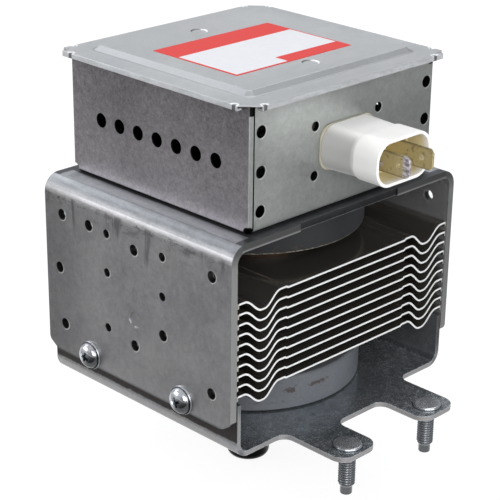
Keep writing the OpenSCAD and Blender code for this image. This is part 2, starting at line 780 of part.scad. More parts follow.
// Strip from a lead rod to its choke's wire
module stem_terminal(side) color("#c9c19a") {
    inner = lead_offset - lead_d;
    translate([0, 0, stem_top]) mirror([side > 0 ? 0 : 1, 0, 0]) {
        translate([inner, -tail_w / 2, 0]) cube([stem_face_x - inner, tail_w, blade_t]);
        translate([stem_face_x - blade_t, -tail_w / 2, 0])
            cube([blade_t, tail_w, stem_drop + tail_w / 2]);
    }
}

module stem_terminal_left() stem_terminal(-1);
module stem_terminal_right() stem_terminal(1);

module antenna_lead() color("#b8703f") rotate([90, 0, 0])
    wire(antenna_route, antenna_lead_d, antenna_bend);

module antenna_ceramic() color("#e8d9d3")
    ring(antenna_ceramic_d / 2 - antenna_ceramic_wall, antenna_ceramic_d / 2,
         ceramic_foot_z, antenna_shelf_z);

module exhaust_tube() color("#b8703f") {
    tube_len = cap_len - 4 * cap_wall - sleeve_wall;
    tip_len = tube_len / 3;
    translate([0, 0, ceramic_foot_z - sleeve_wall]) {
        cylinder(sleeve_wall, r = cap_bore_r);
        translate([0, 0, tip_len - tube_len]) cylinder(tube_len - tip_len, d = exhaust_d);
        intersection() {
            translate([0, 0, -tube_len]) cylinder(tip_len, d = exhaust_d);
            translate([0, 0, -tube_len])
                sloped_bar(exhaust_d / 4, exhaust_d, tip_len, -exhaust_d * 3 / 8);
        }
    }
}

module antenna_cap() color("#4a4c50") {
    round_r = cap_d / 6;
    outer_r = cap_d / 2;
    translate([0, 0, -antenna_len]) difference() {
        rotate_extrude() {
            translate([0, round_r]) square([outer_r, cap_len - round_r]);
            square([outer_r - round_r, round_r]);
            translate([outer_r - round_r, round_r]) intersection() {
                circle(round_r);
                translate([0, -round_r]) square(round_r);
            }
        }
        translate([0, 0, 2 * cap_wall]) cylinder(cap_len, r = cap_bore_r);
    }
}

module mesh_gasket() color("#a9a493") {
    inner_r = sleeve_hole_r;
    outer_r = gasket_d / 2;
    translate([0, 0, -gasket_h / 2]) rotate_extrude()
        translate([(inner_r + outer_r) / 2, 0])
            rounded_outline(outer_r - inner_r, gasket_h, gasket_h / 3);
}

// Filter box

module filter_box() color("#8f8d92") difference() {
    union() {
        translate([0, 0, yoke_h]) difference() {
            tray(box_w, box_d, box_h, box_bend + box_sheet);
            translate([0, 0, box_sheet])
                tray(box_w - 2 * box_sheet, box_d - 2 * box_sheet, box_h, box_bend);
        }
        box_rim();
    }
    translate([0, 0, yoke_h - cut]) cylinder(box_sheet + 2 * cut, r = sleeve_hole_r);
    for (i = [0:vent_count - 1]) translate([0, (i - (vent_count - 1) / 2) * vent_pitch, yoke_h + vent_z])
        rotate([0, 90, 0]) cylinder(box_w + 2 * cut, d = vent_d, center = true);
    for (side = [-1, 1], i = [0:wall_hole_count - 1])
        front_hole(side * (box_w / 2 - wall_hole_inset),
                   wall_hole_z + (i - (wall_hole_count - 1) / 2) * wall_hole_pitch, wall_hole_d);
    ground_holes();
    along_port(wall_y - cut, wall_inner_y + cut) capacitor_outline(terminal_gap);
    for (y = [-1, 1]) {
        translate([box_w / 2, y * box_d / 2, yoke_h]) rotate(y * 45) seam_cut(seam_w);
        translate([-box_w / 2, y * box_d / 2, yoke_h]) {
            rotate(-y * 45) seam_cut(0);
            flange_seam();
        }
    }
}

// Seam at a corner of the box, with the round relief at its foot
module seam_cut(width) {
    translate([0, 0, seam_relief_d / 2]) {
        if (width > 0) translate([0, 0, box_h]) cube([4 * seam_relief_d, width, 2 * box_h], center = true);
        rotate([0, 90, 0]) cylinder(4 * seam_relief_d, d = seam_relief_d, center = true);
    }
}

// Gap beside the left wall's flange, and the notch above it
module flange_seam() {
    translate([seam_flange_w, 0, seam_relief_d / 2 + box_h])
        cube([seam_w, 4 * box_sheet, 2 * box_h], center = true);
    translate([box_sheet, -2 * box_sheet, box_h - seam_notch_h])
        cube([seam_flange_w - box_sheet, 4 * box_sheet, seam_notch_h + cut]);
}

// Rim turned out at the top of the four walls, open at the corners
module box_rim() {
    reach = lid_overhang - lid_sheet;
    for (turn = [0, 90, 180, 270]) rotate(turn) {
        along = (turn % 180 == 0 ? box_d : box_w) - 2 * lid_corner;
        wall = (turn % 180 == 0 ? box_w : box_d) / 2;
        translate([wall - box_sheet, -along / 2, box_top - box_sheet])
            cube([reach + box_sheet, along, box_sheet]);
    }
}

// Hole through the front wall, sideways from the terminals and above the box's underside
module front_hole(x, z, diameter) {
    translate([port_x + x, wall_y, yoke_h + z]) rotate([90, 0, 0])
        cylinder(8 * box_sheet, d = diameter, center = true);
}

module ground_holes() {
    for (x = [-1, 1], z = [-1, 1])
        front_hole(x * ground_hole_x / 2, port_z + z * ground_hole_z / 2, ground_hole_d);
}

// Stretch of an outline round the terminals' middle
module along_port(y1, y2) {
    translate([port_x, 0, port_height]) along_y(y1, y2) children();
}

module capacitor_outline(gap) {
    rounded_outline(capacitor_w + 2 * gap, capacitor_h + 2 * gap, capacitor_corner + gap);
}

module filter_lid() color("#c3c5c8") {
    difference() {
        union() {
            translate([0, 0, box_top]) linear_extrude(lid_sheet) lid_outline();
            translate([0, 0, lid_top])
                raised_panel(panel_w, panel_d, panel_rise, panel_bevel, panel_corner);
        }
        translate([0, 0, box_top])
            raised_panel(panel_w - 2 * lid_sheet, panel_d - 2 * lid_sheet, panel_rise, panel_bevel,
                         panel_corner - lid_sheet);
        for (y = [-1, 1]) translate([mark_x, mark_y + y * mark_pitch / 2, panel_top - mark_depth])
            cylinder(panel_rise, d = mark_d);
    }
    for (turn = [0, 90, 180, 270]) rotate(turn) {
        along = (turn % 180 == 0 ? lid_d : lid_w) - 2 * lid_corner;
        edge = (turn % 180 == 0 ? lid_w : lid_d) / 2;
        hem_z = box_top - box_sheet - lid_sheet;
        start = -along / 2 - (turn % 180 == 0 ? hem_past : 0);
        translate([edge - lid_sheet, start, hem_z]) cube([lid_sheet, along + hem_past, lid_top - hem_z]);
        for (z = [hem_z, box_top])
            translate([edge - hem_w, start, z]) cube([hem_w, along + hem_past, lid_sheet]);
    }
}

// Lid seen from above, with its corners cut off
module lid_outline() {
    square([lid_w, lid_d - 2 * lid_corner], center = true);
    square([lid_w - 2 * lid_corner, lid_d], center = true);
    for (x = [-1, 1], y = [-1, 1])
        translate([x * (lid_w / 2 - lid_corner), y * (lid_d / 2 - lid_corner)])
            polygon([[0, 0], [x * lid_corner, 0], [0, y * lid_corner]]);
}

module rating_label() color("#d8423a")
    translate([label_x, label_y, panel_top + label_t / 2])
        cube([label_w, label_d, label_t], center = true);

// Terminals and capacitor

module shroud_outline(inset) {
    rounded_outline(shroud_w - 2 * inset, shroud_h - 2 * inset, shroud_corner - inset);
}

// Slots for the two terminals, with their clearance
module terminal_slots(width, y1, y2) {
    for (side = [-1, 1]) along_port(y1, y2) translate([side * blade_x, 0])
        square([blade_t + 2 * terminal_gap, width + 2 * terminal_gap], center = true);
}

module terminal_housing() color("#f1eee6") difference() {
    union() {
        along_port(rim_y, rim_y + shroud_len) shroud_outline(0);
        along_port(rim_y, wall_y - seal_t) shroud_outline(housing_step);
    }
    along_port(rim_y - cut, rim_y + shroud_len - shroud_wall) shroud_outline(shroud_wall);
    along_port(rim_y, capacitor_front_y - housing_floor) shroud_outline(housing_step + shroud_wall);
    along_port(capacitor_front_y, wall_y) capacitor_outline(terminal_gap);
    terminal_slots(blade_w, rim_y, wall_y);
}

module seal_ring() color("#c9c0a0") difference() {
    inset = housing_step - seal_out;
    along_port(wall_y - seal_t, wall_y)
        rounded_outline(shroud_w - 2 * inset, shroud_h - 2 * inset, seal_corner);
    along_port(wall_y - seal_t - cut, wall_y + cut) capacitor_outline(terminal_gap);
}

module ground_plate() color("#a5a7a9") difference() {
    along_port(wall_inner_y, ground_y) square([ground_w, ground_h], center = true);
    along_port(wall_inner_y - cut, ground_y + cut) capacitor_outline(terminal_gap);
    ground_holes();
}

module capacitor_ceramic() color("#cfc8b4") difference() {
    along_port(capacitor_front_y, capacitor_back_y) capacitor_outline(0);
    terminal_slots(blade_w, capacitor_front_y - cut, wall_y);
    terminal_slots(tail_w, wall_y - cut, capacitor_back_y + cut);
}

module capacitor_case() color("#e9e6dc") difference() {
    along_port(ground_y, case_back_y) capacitor_outline(case_wall);
    along_port(ground_y - cut, capacitor_back_y) capacitor_outline(terminal_gap);
    terminal_slots(tail_w, capacitor_back_y - cut, case_back_y + cut);
}

// Tab terminal: a wide blade in front and a narrow tail in the box
module terminal(side) color("#a79f78") translate([port_x + side * blade_x, 0, port_height]) {
    half = blade_w / 2;
    rotate([90, 0, 90]) linear_extrude(blade_t, center = true) difference() {
        union() {
            polygon([[tip_y, blade_chamfer - half], [tip_y + blade_chamfer, -half], [wall_y, -half],
                     [wall_y, half], [tip_y + blade_chamfer, half], [tip_y, half - blade_chamfer]]);
            translate([wall_y - cut, -tail_w / 2]) square([tail_y - wall_y + cut, tail_w]);
        }
        translate([tip_y + blade_hole_tip, 0]) circle(d = blade_hole_d);
    }
}

module terminal_left() terminal(-1);
module terminal_right() terminal(1);

// Chokes

// Close-wound coil along Y with its two straight ends, on the +X side
module choke_coil(side) color("#8a4a26") mirror([side > 0 ? 0 : 1, 0, 0]) {
    inner_x = choke_x - choke_r;
    translate([choke_x, choke_mid_y, port_height]) rotate([90, 0, 0])
        rotate_extrude() translate([choke_r, 0]) {
            for (i = [0:choke_turns - 1])
                translate([0, (i - (choke_turns - 1) / 2) * choke_wire]) circle(d = choke_wire, $fn = 24);
            square([choke_wire / 2, choke_len - choke_wire], center = true);
        }
    translate([0, 0, port_height]) {
        wire([[inner_x, choke_mid_y - choke_len / 2 + choke_wire], [inner_x, choke_front_y],
              [tail_face_x + side * port_x, choke_front_y]], choke_wire - 2 * enamel_t, choke_bend);
        wire([[inner_x, choke_mid_y + choke_len / 2 - choke_wire], [inner_x, 0],
              [stem_face_x, 0]], choke_wire - 2 * enamel_t, choke_bend);
    }
}

module choke_coil_left() choke_coil(-1);
module choke_coil_right() choke_coil(1);

module ferrite_core(side) color("#3c3b3d")
    translate([side * choke_x, choke_mid_y, port_height]) rotate([90, 0, 0])
        cylinder(choke_len + 2 * core_out, r = choke_r - choke_wire / 2 - core_gap, center = true);

module ferrite_core_left() ferrite_core(-1);
module ferrite_core_right() ferrite_core(1);

upper_yoke();
lower_yoke();
yoke_screws();
mounting_studs();
upper_magnet();
lower_magnet();
anode_cylinder();
anode_vanes();
strap_rings();
upper_pole_piece();
lower_pole_piece();
input_sleeve();
output_sleeve();
filament();
upper_end_hat();
lower_end_hat();
centre_lead();
side_lead();
stem_ceramic();
stem_terminal_left();
stem_terminal_right();
antenna_lead();
antenna_ceramic();
exhaust_tube();
antenna_cap();
mesh_gasket();
filter_box();
filter_lid();
rating_label();
terminal_housing();
seal_ring();
ground_plate();
capacitor_ceramic();
capacitor_case();
terminal_left();
terminal_right();
choke_coil_left();
choke_coil_right();
ferrite_core_left();
ferrite_core_right();
for (i = [1:fin_count])
    fin(i);
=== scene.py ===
"""Looks of the cooker magnetron: finishes for every node, rounded sheet edges, threads and screws."""
import json
import math

import bmesh
import bpy
from mathutils import Matrix, Vector


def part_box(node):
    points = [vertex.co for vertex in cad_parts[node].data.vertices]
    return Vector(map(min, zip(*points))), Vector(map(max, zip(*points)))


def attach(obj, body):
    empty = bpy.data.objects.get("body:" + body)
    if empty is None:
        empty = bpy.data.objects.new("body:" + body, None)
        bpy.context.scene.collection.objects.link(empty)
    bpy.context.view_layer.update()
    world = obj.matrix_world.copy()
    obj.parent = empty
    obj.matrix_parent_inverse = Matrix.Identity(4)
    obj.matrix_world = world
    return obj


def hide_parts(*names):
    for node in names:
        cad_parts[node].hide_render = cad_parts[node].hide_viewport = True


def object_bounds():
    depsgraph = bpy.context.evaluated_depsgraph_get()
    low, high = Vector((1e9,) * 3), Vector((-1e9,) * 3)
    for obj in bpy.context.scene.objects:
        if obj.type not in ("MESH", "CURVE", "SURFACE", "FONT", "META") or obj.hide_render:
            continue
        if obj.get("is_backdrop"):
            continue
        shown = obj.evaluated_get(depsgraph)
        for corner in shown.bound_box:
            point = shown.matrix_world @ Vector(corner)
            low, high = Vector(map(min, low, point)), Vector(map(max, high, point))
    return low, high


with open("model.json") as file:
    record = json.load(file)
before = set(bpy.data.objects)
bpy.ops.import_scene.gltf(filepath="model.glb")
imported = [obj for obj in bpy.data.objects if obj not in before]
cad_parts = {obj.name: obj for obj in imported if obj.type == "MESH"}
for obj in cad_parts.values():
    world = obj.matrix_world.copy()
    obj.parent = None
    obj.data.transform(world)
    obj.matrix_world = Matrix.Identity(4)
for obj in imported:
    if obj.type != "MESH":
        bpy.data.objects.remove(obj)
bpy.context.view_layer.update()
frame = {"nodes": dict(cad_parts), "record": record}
nodes = frame["nodes"]
MM = 0.001

# Places that several pieces share, in millimetres
PORT_X, PORT_Z = 0.8, 83.8            # middle of the terminal housing
PORT_FLAT_X, PORT_FLAT_Z = 5.7, 1.0   # where its corners start, from the middle
STUD_X, STUD_Y = 17.75, 57.75
SCREW_Y, SCREW_Z = 20.2, 12.7
PLATE_OUT, PLATE_IN = 47.5, 45.3      # outer and inner faces of the side plates
STAKE_Z, STAKE_R = 31.1, 2.6          # staked mark of the side plates
FRONT_END = 40.0                      # front and back edges of the yoke and the fins
LOWER_SHEET = 1.6
PANEL_X, PANEL_Y = 36.0, 34.0         # past the foot of the lid's raised panel
MARK_X, MARK_Y, MARK_HALF = -0.4, -0.3, 22.95   # round marks of the lid's panel
EVEN = (1.0, 1.0, 1.0)


# Shader maths

class Value:
    """A number that changes over a surface. Sums and products of it add Math nodes."""

    def __init__(self, finish, socket):
        self.finish = finish
        self.socket = socket

    def math(self, operation, first, second=0.0):
        return self.finish.node("ShaderNodeMath", {"operation": operation}, {0: first, 1: second})

    def __add__(self, other):
        return self.math("ADD", self, other)

    def __sub__(self, other):
        return self.math("SUBTRACT", self, other)

    def __rsub__(self, other):
        return self.math("SUBTRACT", other, self)

    def __mul__(self, other):
        return self.math("MULTIPLY", self, other)

    def __truediv__(self, other):
        return self.math("DIVIDE", self, other)

    def __neg__(self):
        return self * -1.0

    __radd__ = __add__
    __rmul__ = __mul__

    def over(self, other):
        """The larger of two values."""
        return self.math("MAXIMUM", self, other)

    def under(self, other):
        """The smaller of two values."""
        return self.math("MINIMUM", self, other)

    def size(self):
        """The value without its sign."""
        return self.math("ABSOLUTE", self)

    def reach(self, other):
        """The length of the vector that two values make."""
        return self.math("SQRT", self * self + other * other)

    def step(self, start, end, low=0.0, high=1.0):
        """A smooth change from low to high while the value goes from start to end."""
        return self.finish.node("ShaderNodeMapRange", {"interpolation_type": "SMOOTHSTEP"},
                                {0: self, 1: start, 2: end, 3: low, 4: high})


class Finish:
    """A material that is put together node by node."""

    def __init__(self, name, metallic=0.0, **shader):
        self.material = bpy.data.materials.new(name)
        self.material.use_nodes = True
        self.tree = self.material.node_tree
        self.tree.nodes.clear()
        self.shader = self.node("ShaderNodeBsdfPrincipled", {}, {"Metallic": metallic, **shader}).socket.node
        self.node("ShaderNodeOutputMaterial", {}, {"Surface": self.shader.outputs[0]})
        self.places = self.node("ShaderNodeTexCoord", output="Object")
        self.mm = self.node("ShaderNodeVectorMath", {"operation": "SCALE"}, {0: self.places, "Scale": 1000.0})

    def node(self, kind, settings=None, sockets=None, output=0):
        """Any node: its settings are set first, and then the values or links of its sockets."""
        made = self.tree.nodes.new(kind)
        for key, value in (settings or {}).items():
            setattr(made, key, value)
        for key, value in (sockets or {}).items():
            socket = made.inputs[key]
            if isinstance(value, Value):
                self.tree.links.new(value.socket, socket)
            elif isinstance(value, bpy.types.NodeSocket):
                self.tree.links.new(value, socket)
            elif isinstance(value, tuple) and len(value) == 3 and socket.type == "RGBA":
                socket.default_value = (*value, 1.0)
            else:
                socket.default_value = value
        return Value(self, made.outputs[output]) if made.outputs else None

    def axes(self, vector=None):
        """The three coordinates in millimetres."""
        split = self.node("ShaderNodeSeparateXYZ", {}, {0: vector or self.mm}).socket.node
        return [Value(self, split.outputs[i]) for i in range(3)]

    def grain(self, scale, detail=3.0, stretch=(1, 1, 1), rough=0.55, shift=(0, 0, 0)):
        """Cloudy noise from 0 to 1 with about scale spots to a millimetre."""
        placed = self.node("ShaderNodeMapping", {}, {"Vector": self.mm, "Location": shift, "Scale": stretch})
        return self.node("ShaderNodeTexNoise", {}, {"Vector": placed, "Scale": scale, "Detail": detail,
                                                    "Roughness": rough}, "Fac")

    def cells(self, scale):
        """Colours of cells with about scale of them to a millimetre."""
        return self.node("ShaderNodeTexVoronoi", {"feature": "F1"}, {"Vector": self.mm, "Scale": scale}, "Color")

    def blend(self, share, first, second):
        """A colour between two colours."""
        return self.node("ShaderNodeMix", {"data_type": "RGBA"}, {0: share, 6: first, 7: second}, 2)

    def shade(self, colour, factor):
        """A colour times a number that changes over the surface."""
        return self.node("ShaderNodeVectorMath", {"operation": "SCALE"}, {0: colour, "Scale": factor})

    def dye(self, colour, tint):
        """A colour times another colour."""
        return self.node("ShaderNodeVectorMath", {"operation": "MULTIPLY"}, {0: colour, 1: tint})

    def bump(self, height, strength, distance):
        """Small relief: the height is from 0 to 1, and distance its real size in millimetres."""
        normal = self.node("ShaderNodeBump", {}, {"Height": height, "Strength": strength,
                                                  "Distance": distance * MM})
        self.tree.links.new(normal.socket, self.shader.inputs["Normal"])

    def set(self, **sockets):
        """The material, with the shader's sockets set or linked."""
        for key, value in sockets.items():
            socket = self.shader.inputs[key.replace("_", " ")]
            if isinstance(value, Value):
                self.tree.links.new(value.socket, socket)
            elif isinstance(value, tuple):
                socket.default_value = (*value, 1.0)
            else:
                socket.default_value = value
        return self.material


def grey(level, tint=EVEN):
    """A linear colour from a level as it is seen, from 0 to 1."""
    return tuple((level * t) ** 2.2 for t in tint)


# Mesh tools

def even_shading(made):
    made.modifiers.new("even_shading", "WEIGHTED_NORMAL").keep_sharp = True


def piece(name, mesh, material, replaced=(), angle=32, weighted=True):
    """A finished piece of the looks, which rides on the one body."""
    made = bpy.data.objects.new(name, mesh)
    bpy.context.scene.collection.objects.link(made)
    mesh.materials.clear()
    mesh.materials.append(material)
    mesh.shade_smooth()
    mesh.set_sharp_from_angle(angle=math.radians(angle))
    if weighted:
        even_shading(made)
    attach(made, "root")
    if replaced:
        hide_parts(*replaced)
    return made


def solid_copy(node):
    """A clean editable copy of a node's mesh, with its flat faces whole again."""
    bm = bmesh.new()
    bm.from_mesh(nodes[node].data)
    bmesh.ops.remove_doubles(bm, verts=bm.verts, dist=2e-6)
    bmesh.ops.dissolve_limit(bm, angle_limit=math.radians(0.6), verts=bm.verts, edges=bm.edges)
    return bm


def sharp_edges(bm, angle, where=None):
    """Edges that turn by more than the angle. Where, if given, picks among them by their two ends."""
    found = []
    for edge in bm.edges:
        if len(edge.link_faces) == 2 and edge.calc_face_angle(0.0) > math.radians(angle):
            if where is None or where(*edge.verts):
                found.append(edge)
    return found


def round_edges(bm, edges, width, segments=2):
    """Rounds edges by a width in millimetres."""
    bmesh.ops.bevel(bm, geom=edges, offset=width * MM, offset_type="OFFSET", segments=segments, profile=0.5,
                    affect="EDGES", clamp_overlap=True)


def to_mesh(bm, name):
    """A mesh from the editable form, which is freed."""
    mesh = bpy.data.meshes.new(name)
    bmesh.ops.recalc_face_normals(bm, faces=bm.faces)
    bm.to_mesh(mesh)
    bm.free()
    return mesh


def carve(made, cutter, angle=32):
    """Cuts shapes out of a finished piece."""
    name = made.data.name
    made.modifiers.clear()
    tool_mesh = to_mesh(cutter, "tool")
    tool = bpy.data.objects.new("tool", tool_mesh)
    bpy.context.scene.collection.objects.link(tool)
    cut = made.modifiers.new("carve", "BOOLEAN")
    cut.object = tool
    cut.operation = "DIFFERENCE"
    cut.solver = "EXACT"
    cut.use_self = True
    result = bpy.data.meshes.new_from_object(made.evaluated_get(bpy.context.evaluated_depsgraph_get()))
    made.modifiers.clear()
    bpy.data.objects.remove(tool)
    bpy.data.meshes.remove(tool_mesh)
    made.data = result
    result.name = name
    result.shade_smooth()
    result.set_sharp_from_angle(angle=math.radians(angle))
    even_shading(made)


def lathe(bm, profile, centre, steps=48, turn=Matrix.Identity(4)):
    """A turned shape from (radius, height) points in millimetres, along +Z of the turn."""
    rings = []
    place = Matrix.Translation(Vector(centre) * MM) @ turn
    for radius, height in profile:
        if radius < 1e-6:
            rings.append([bm.verts.new(place @ Vector((0, 0, height * MM)))])
            continue
        rings.append([bm.verts.new(place @ Vector((radius * math.cos(a) * MM, radius * math.sin(a) * MM,
                                                   height * MM)))
                      for a in (2 * math.pi * i / steps for i in range(steps))])
    for low, high in zip(rings, rings[1:]):
        for i in range(steps):
            j = (i + 1) % steps
            corners = [low[i % len(low)], low[j % len(low)], high[j % len(high)], high[i % len(high)]]
            unique = list(dict.fromkeys(corners))
            if len(unique) > 2:
                bm.faces.new(unique)


# Finishes

def sheet_zinc(name, level, tint, roughness, spangle, cloud, speck, marks):
    """Zinc plated sheet steel: soft clouds, specks, spangle and fine grain, and then the marks and the painted light
    and shade of one piece.
    """
    f = Finish(name, 0.8)
    clouds = f.grain(0.045, 4)
    specks = f.grain(0.6, 4, rough=0.75)
    fine = f.grain(1.6, 2)
    cells = f.axes(f.cells(0.55))[0]
    tone = (1 + (clouds - 0.5) * (2 * cloud) + (cells - 0.5) * (2 * spangle) + (specks - 0.5) * (2 * speck)
            + (fine - 0.5) * 0.2)
    colour = f.shade(f.blend(clouds, grey(level, tint), grey(level)), tone)
    f.bump(fine * 0.6 + clouds, 0.12, 0.05)
    rough = roughness + (clouds - 0.5) * 0.16 + (specks - 0.5) * 0.2
    colour, rough = marks(f, colour, rough)
    return f.set(Base_Color=colour, Roughness=rough)


def hole_highlights(u, v, holes):
    """A painted highlight on the edge of round holes, on the side of low u."""
    found = None
    for place, height, radius in holes:
        away = u - place
        ring = away.reach(v - height)
        ring = (ring.step(radius + 0.02, radius + 0.1) * ring.step(radius + 0.42, radius + 0.26)
                * (away + (v - height) * 0.5).step(0.1, -0.7 * radius))
        found = ring if found is None else found.over(ring)
    return found


SIDE_HOLES = [(-32.2, 54.8, 1.7), (32.2, 54.8, 1.7), (19.9, 54.8, 1.7), (0, 53.0, 1.7), (34, 37.3, 1.7),
              (-12.2, 30.2, 1.7), (0, 22.8, 1.7), (-32.2, 19.1, 1.7), (32.2, 19.1, 1.7),
              (-12, 54.5, 1.35), (12, 54.5, 1.35), (12, 42.3, 1.35)]


def yoke_marks_and_shading(f, colour, rough):
    """Dark runs and pits under the rubbed upper bend, and painted light and shade: a lighter top, lighter plates,
    shade beside the box, highlights on hole edges, dark hole walls and unevenly bright cut edges.
    """
    x, y, z = f.axes()
    out = x.size()
    outer = out.step(PLATE_OUT - 0.2, PLATE_OUT - 0.05)
    plate = out.step(PLATE_OUT - 0.65, PLATE_OUT - 0.55)
    facing_in = out.step(PLATE_IN + 0.05, PLATE_IN - 0.05)
    low = z.step(62, 61)
    foot = 61.5 - f.grain(0.16, 3, (0.0, 1.0, 0.0), shift=(0, 3, 0)).step(0.42, 0.7) * 15
    runs = (f.grain(0.3, 4, (0.1, 1.0, 0.12), rough=0.6).step(0.47, 0.62) * (z - foot).step(-1.0, 4.5)
            * z.step(62, 60.4))
    smear = f.grain(0.3, 4, (0.3, 0.5, 1.0), rough=0.7).step(0.5, 0.68) * z.step(54, 59) * z.step(62, 60.6)
    pits = f.grain(1.3, 3, (0.3, 0.35, 1.0), rough=0.7).step(0.58, 0.66) * z.step(57.6, 59.5) * z.step(62.6, 61)
    marks = (runs * 0.5).over(smear * 0.45).over(pits * 0.7)
    colour = f.blend(marks * outer, colour, grey(0.22, (1.04, 0.99, 1.05)))
    rubbed = f.grain(0.7, 4, (1.0, 0.15, 1.0), rough=0.7) - 0.5
    bent = z.step(58.5, 61.5)
    # Painted light and shade: the top lighter, the bend a little darker, and the outer plates lighter, darker
    # towards the back edge and towards the bottom.
    plate_light_and_shade = 0.48 - y.step(14, 40) * 0.45 - z.step(30, 10) * 0.28
    colour = f.shade(colour, (1 + z.step(63.6, 65.0) * 0.45 - bent * 0.12 + bent * rubbed * 1.1) * (1 + plate * plate_light_and_shade))
    # Painted shade along the plates' bottom edge, and painted light on the inner faces below the bend.
    colour = f.shade(colour, (1 - plate * z.step(10.2, 9.4) * 0.5) * (1 + facing_in * low))
    colour = f.dye(colour, f.blend(z.step(61, 64), EVEN, (0.96, 1.0, 1.035)))
    # Painted shade on the top beside the box's foot.
    shade_by_box = z.step(65.0, 65.2) * (out.step(38.7, 38.4).over(y.size().step(36.9, 37.8)) * 0.75)
    colour = f.shade(colour, 1 - shade_by_box)
    # Painted highlights on the hole edges, on the outer faces and, for the upper holes, on the inner faces.
    colour = f.blend(hole_highlights(y, z, SIDE_HOLES) * out.step(PLATE_OUT - 0.3, PLATE_OUT - 0.2) * 0.85, colour, grey(0.97))
    inner = hole_highlights(-y, -z, [(-place, -height, radius) for place, height, radius in SIDE_HOLES if height > 50])
    colour = f.blend(inner * facing_in * 0.9, colour, grey(0.97))
    # Painted shade: faces inside the sheets' thickness, mostly hole walls, made nearly black.
    side = (out.step(PLATE_IN - 0.05, PLATE_IN + 0.1) * out.step(PLATE_OUT - 0.08, PLATE_OUT - 0.22)
            * z.step(61.5, 60.5) * y.reach(z - STAKE_Z).step(STAKE_R, STAKE_R + 0.15))
    middle = out.step(44, 43)
    top = z.step(63.05, 63.2) * z.step(65.2, 65.05) * middle
    ends = y.size().step(FRONT_END - 0.18, FRONT_END - 0.05)
    colour = f.blend(side.over(top) * 0.9, colour, grey(0.10))
    # Cut edges: lighter on the side plates than on the top sheet, as painted light and shade, with a painted
    # highlight along the top sheet's lower edge.
    edge_highlight = z.step(63.75, 63.3) * middle
    cut = f.blend(edge_highlight, f.blend(z.step(58, 64), grey(0.60), grey(0.34)), grey(0.55))
    return (f.blend(ends * 0.9, colour, cut),
            rough + ends * 0.1 + bent * 0.06 + bent * rubbed * 0.2 - facing_in * low * 0.2)


def lower_marks_and_shading(f, colour, rough):
    """Mottled plating, smoother round the magnet, and pale cut edges; painted shade round the stud heads and under
    the bends; dirt and painted shade in the gap under the side plates.
    """
    x, y, z = f.axes()
    out, radius = x.size(), x.reach(y)
    flat = out.step(43.5, 42)
    mottle = f.grain(0.4, 4, rough=0.75).step(0.36, 0.64) * flat
    sparks = f.axes(f.cells(2.4))[1].step(0.72, 0.98) * flat
    colour = f.shade(colour, 0.80 + mottle * 0.36 + sparks * (0.15 + radius.step(36, 46) * 0.35))
    edge = z.step(0.12, 0.25) * z.step(LOWER_SHEET - 0.12, LOWER_SHEET - 0.25) * out.step(42.5, 41.5)
    colour = f.blend(edge * 0.8, colour, grey(0.57, (1.03, 1.0, 0.99)))
    foot = (out - STUD_X).reach(y.size() - STUD_Y)
    # Painted shade: a dark ring on the plate round the foot of each stud head.
    colour = f.shade(colour, 1 - foot.step(4.1, 4.2) * foot.step(4.75, 4.35) * 0.6)
    # Painted shade on the undersides of the bends.
    under = out.step(41.4, 42.4) * z.step(3.4, 2.0)
    colour = f.shade(colour, 1 - under * 0.45)
    colour = f.dye(colour, f.blend(out.step(42, 44), EVEN, (1.0, 0.93, 0.90)))
    # Dirt and painted shade: a ragged dark band in the gap under the side plates.
    ragged = (f.grain(0.5, 4, (1.0, 0.5, 1.0), rough=0.7) - 0.5) * 1.6
    gap = out.step(44.6, 44.9) * (z + ragged).step(5.1, 5.7)
    grime_and_shade = f.blend(f.grain(0.9, 3, rough=0.7), (0.012, 0.010, 0.009), (0.05, 0.042, 0.038))
    rough = rough + edge * 0.25 + gap * 0.3 + sparks * 0.14 + mottle * 0.05 - radius.step(44, 36) * 0.1
    return f.blend(gap * 0.94, colour, grime_and_shade), rough


WALL_HOLES = [(-PORT_X - x, z, 1.8) for x in (-34.5, 34.5) for z in (71.5, 82.9, 94.3)] + [
    (-PORT_X - x, z, 1.45) for x in (-13.2, 13.2) for z in (76.55, 91.05)]


def box_marks_and_shading(f, colour, rough):
    """A mauve and a green cast on neighbouring walls, a stained front, and painted light and shade: sides darker
    towards the top, a front lighter to the left and the top, highlights on hole edges, and a nearly black inside,
    corner notches and foot line.
    """
    x, y, z = f.axes()
    front = y.step(-36.4, -36.7)
    colour = f.dye(colour, f.blend(front, (1.02, 0.96, 1.02), (0.97, 1.01, 0.98)))
    stain = f.grain(0.05, 4, (1, 1, 0.6), rough=0.6)
    # Painted shade: the sides darker towards the top, with random grain.
    side_shade_and_grain = 1.06 - z.step(70, 101) * 0.42 + (f.grain(0.8, 3, rough=0.8) - 0.5) * 0.9
    # Painted light and shade on the front: lighter to the left and towards the top, darker below and right of the
    # housing; and stains.
    front_light_and_stain = (0.92 + x.step(30, -30) * 0.2 + z.step(82, 96) * 0.1 - x.step(-4, 16) * z.step(84, 74) * 0.07
                + stain * 0.3)
    colour = f.shade(colour, f.blend(front, side_shade_and_grain, front_light_and_stain))
    # Painted highlights on the hole edges of the front.
    colour = f.blend(hole_highlights(-x, z, WALL_HOLES) * front * 0.8, colour, grey(0.95))
    # Painted shade: the inside, the corner notches and a line at the foot made nearly black.
    inside = x.size().step(38.2, 38.12) * y.size().step(36.7, 36.62) * z.step(65.6, 65.8)
    notch = z.step(99.3, 99.45) * x.size().step(36.1, 36.25) * y.size().step(35.6, 35.8) * x.size().step(38.24, 38.2)
    foot = z.step(65.85, 65.6)
    return f.blend(inside.over(foot).over(notch), colour, grey(0.09)), rough + inside * 0.3


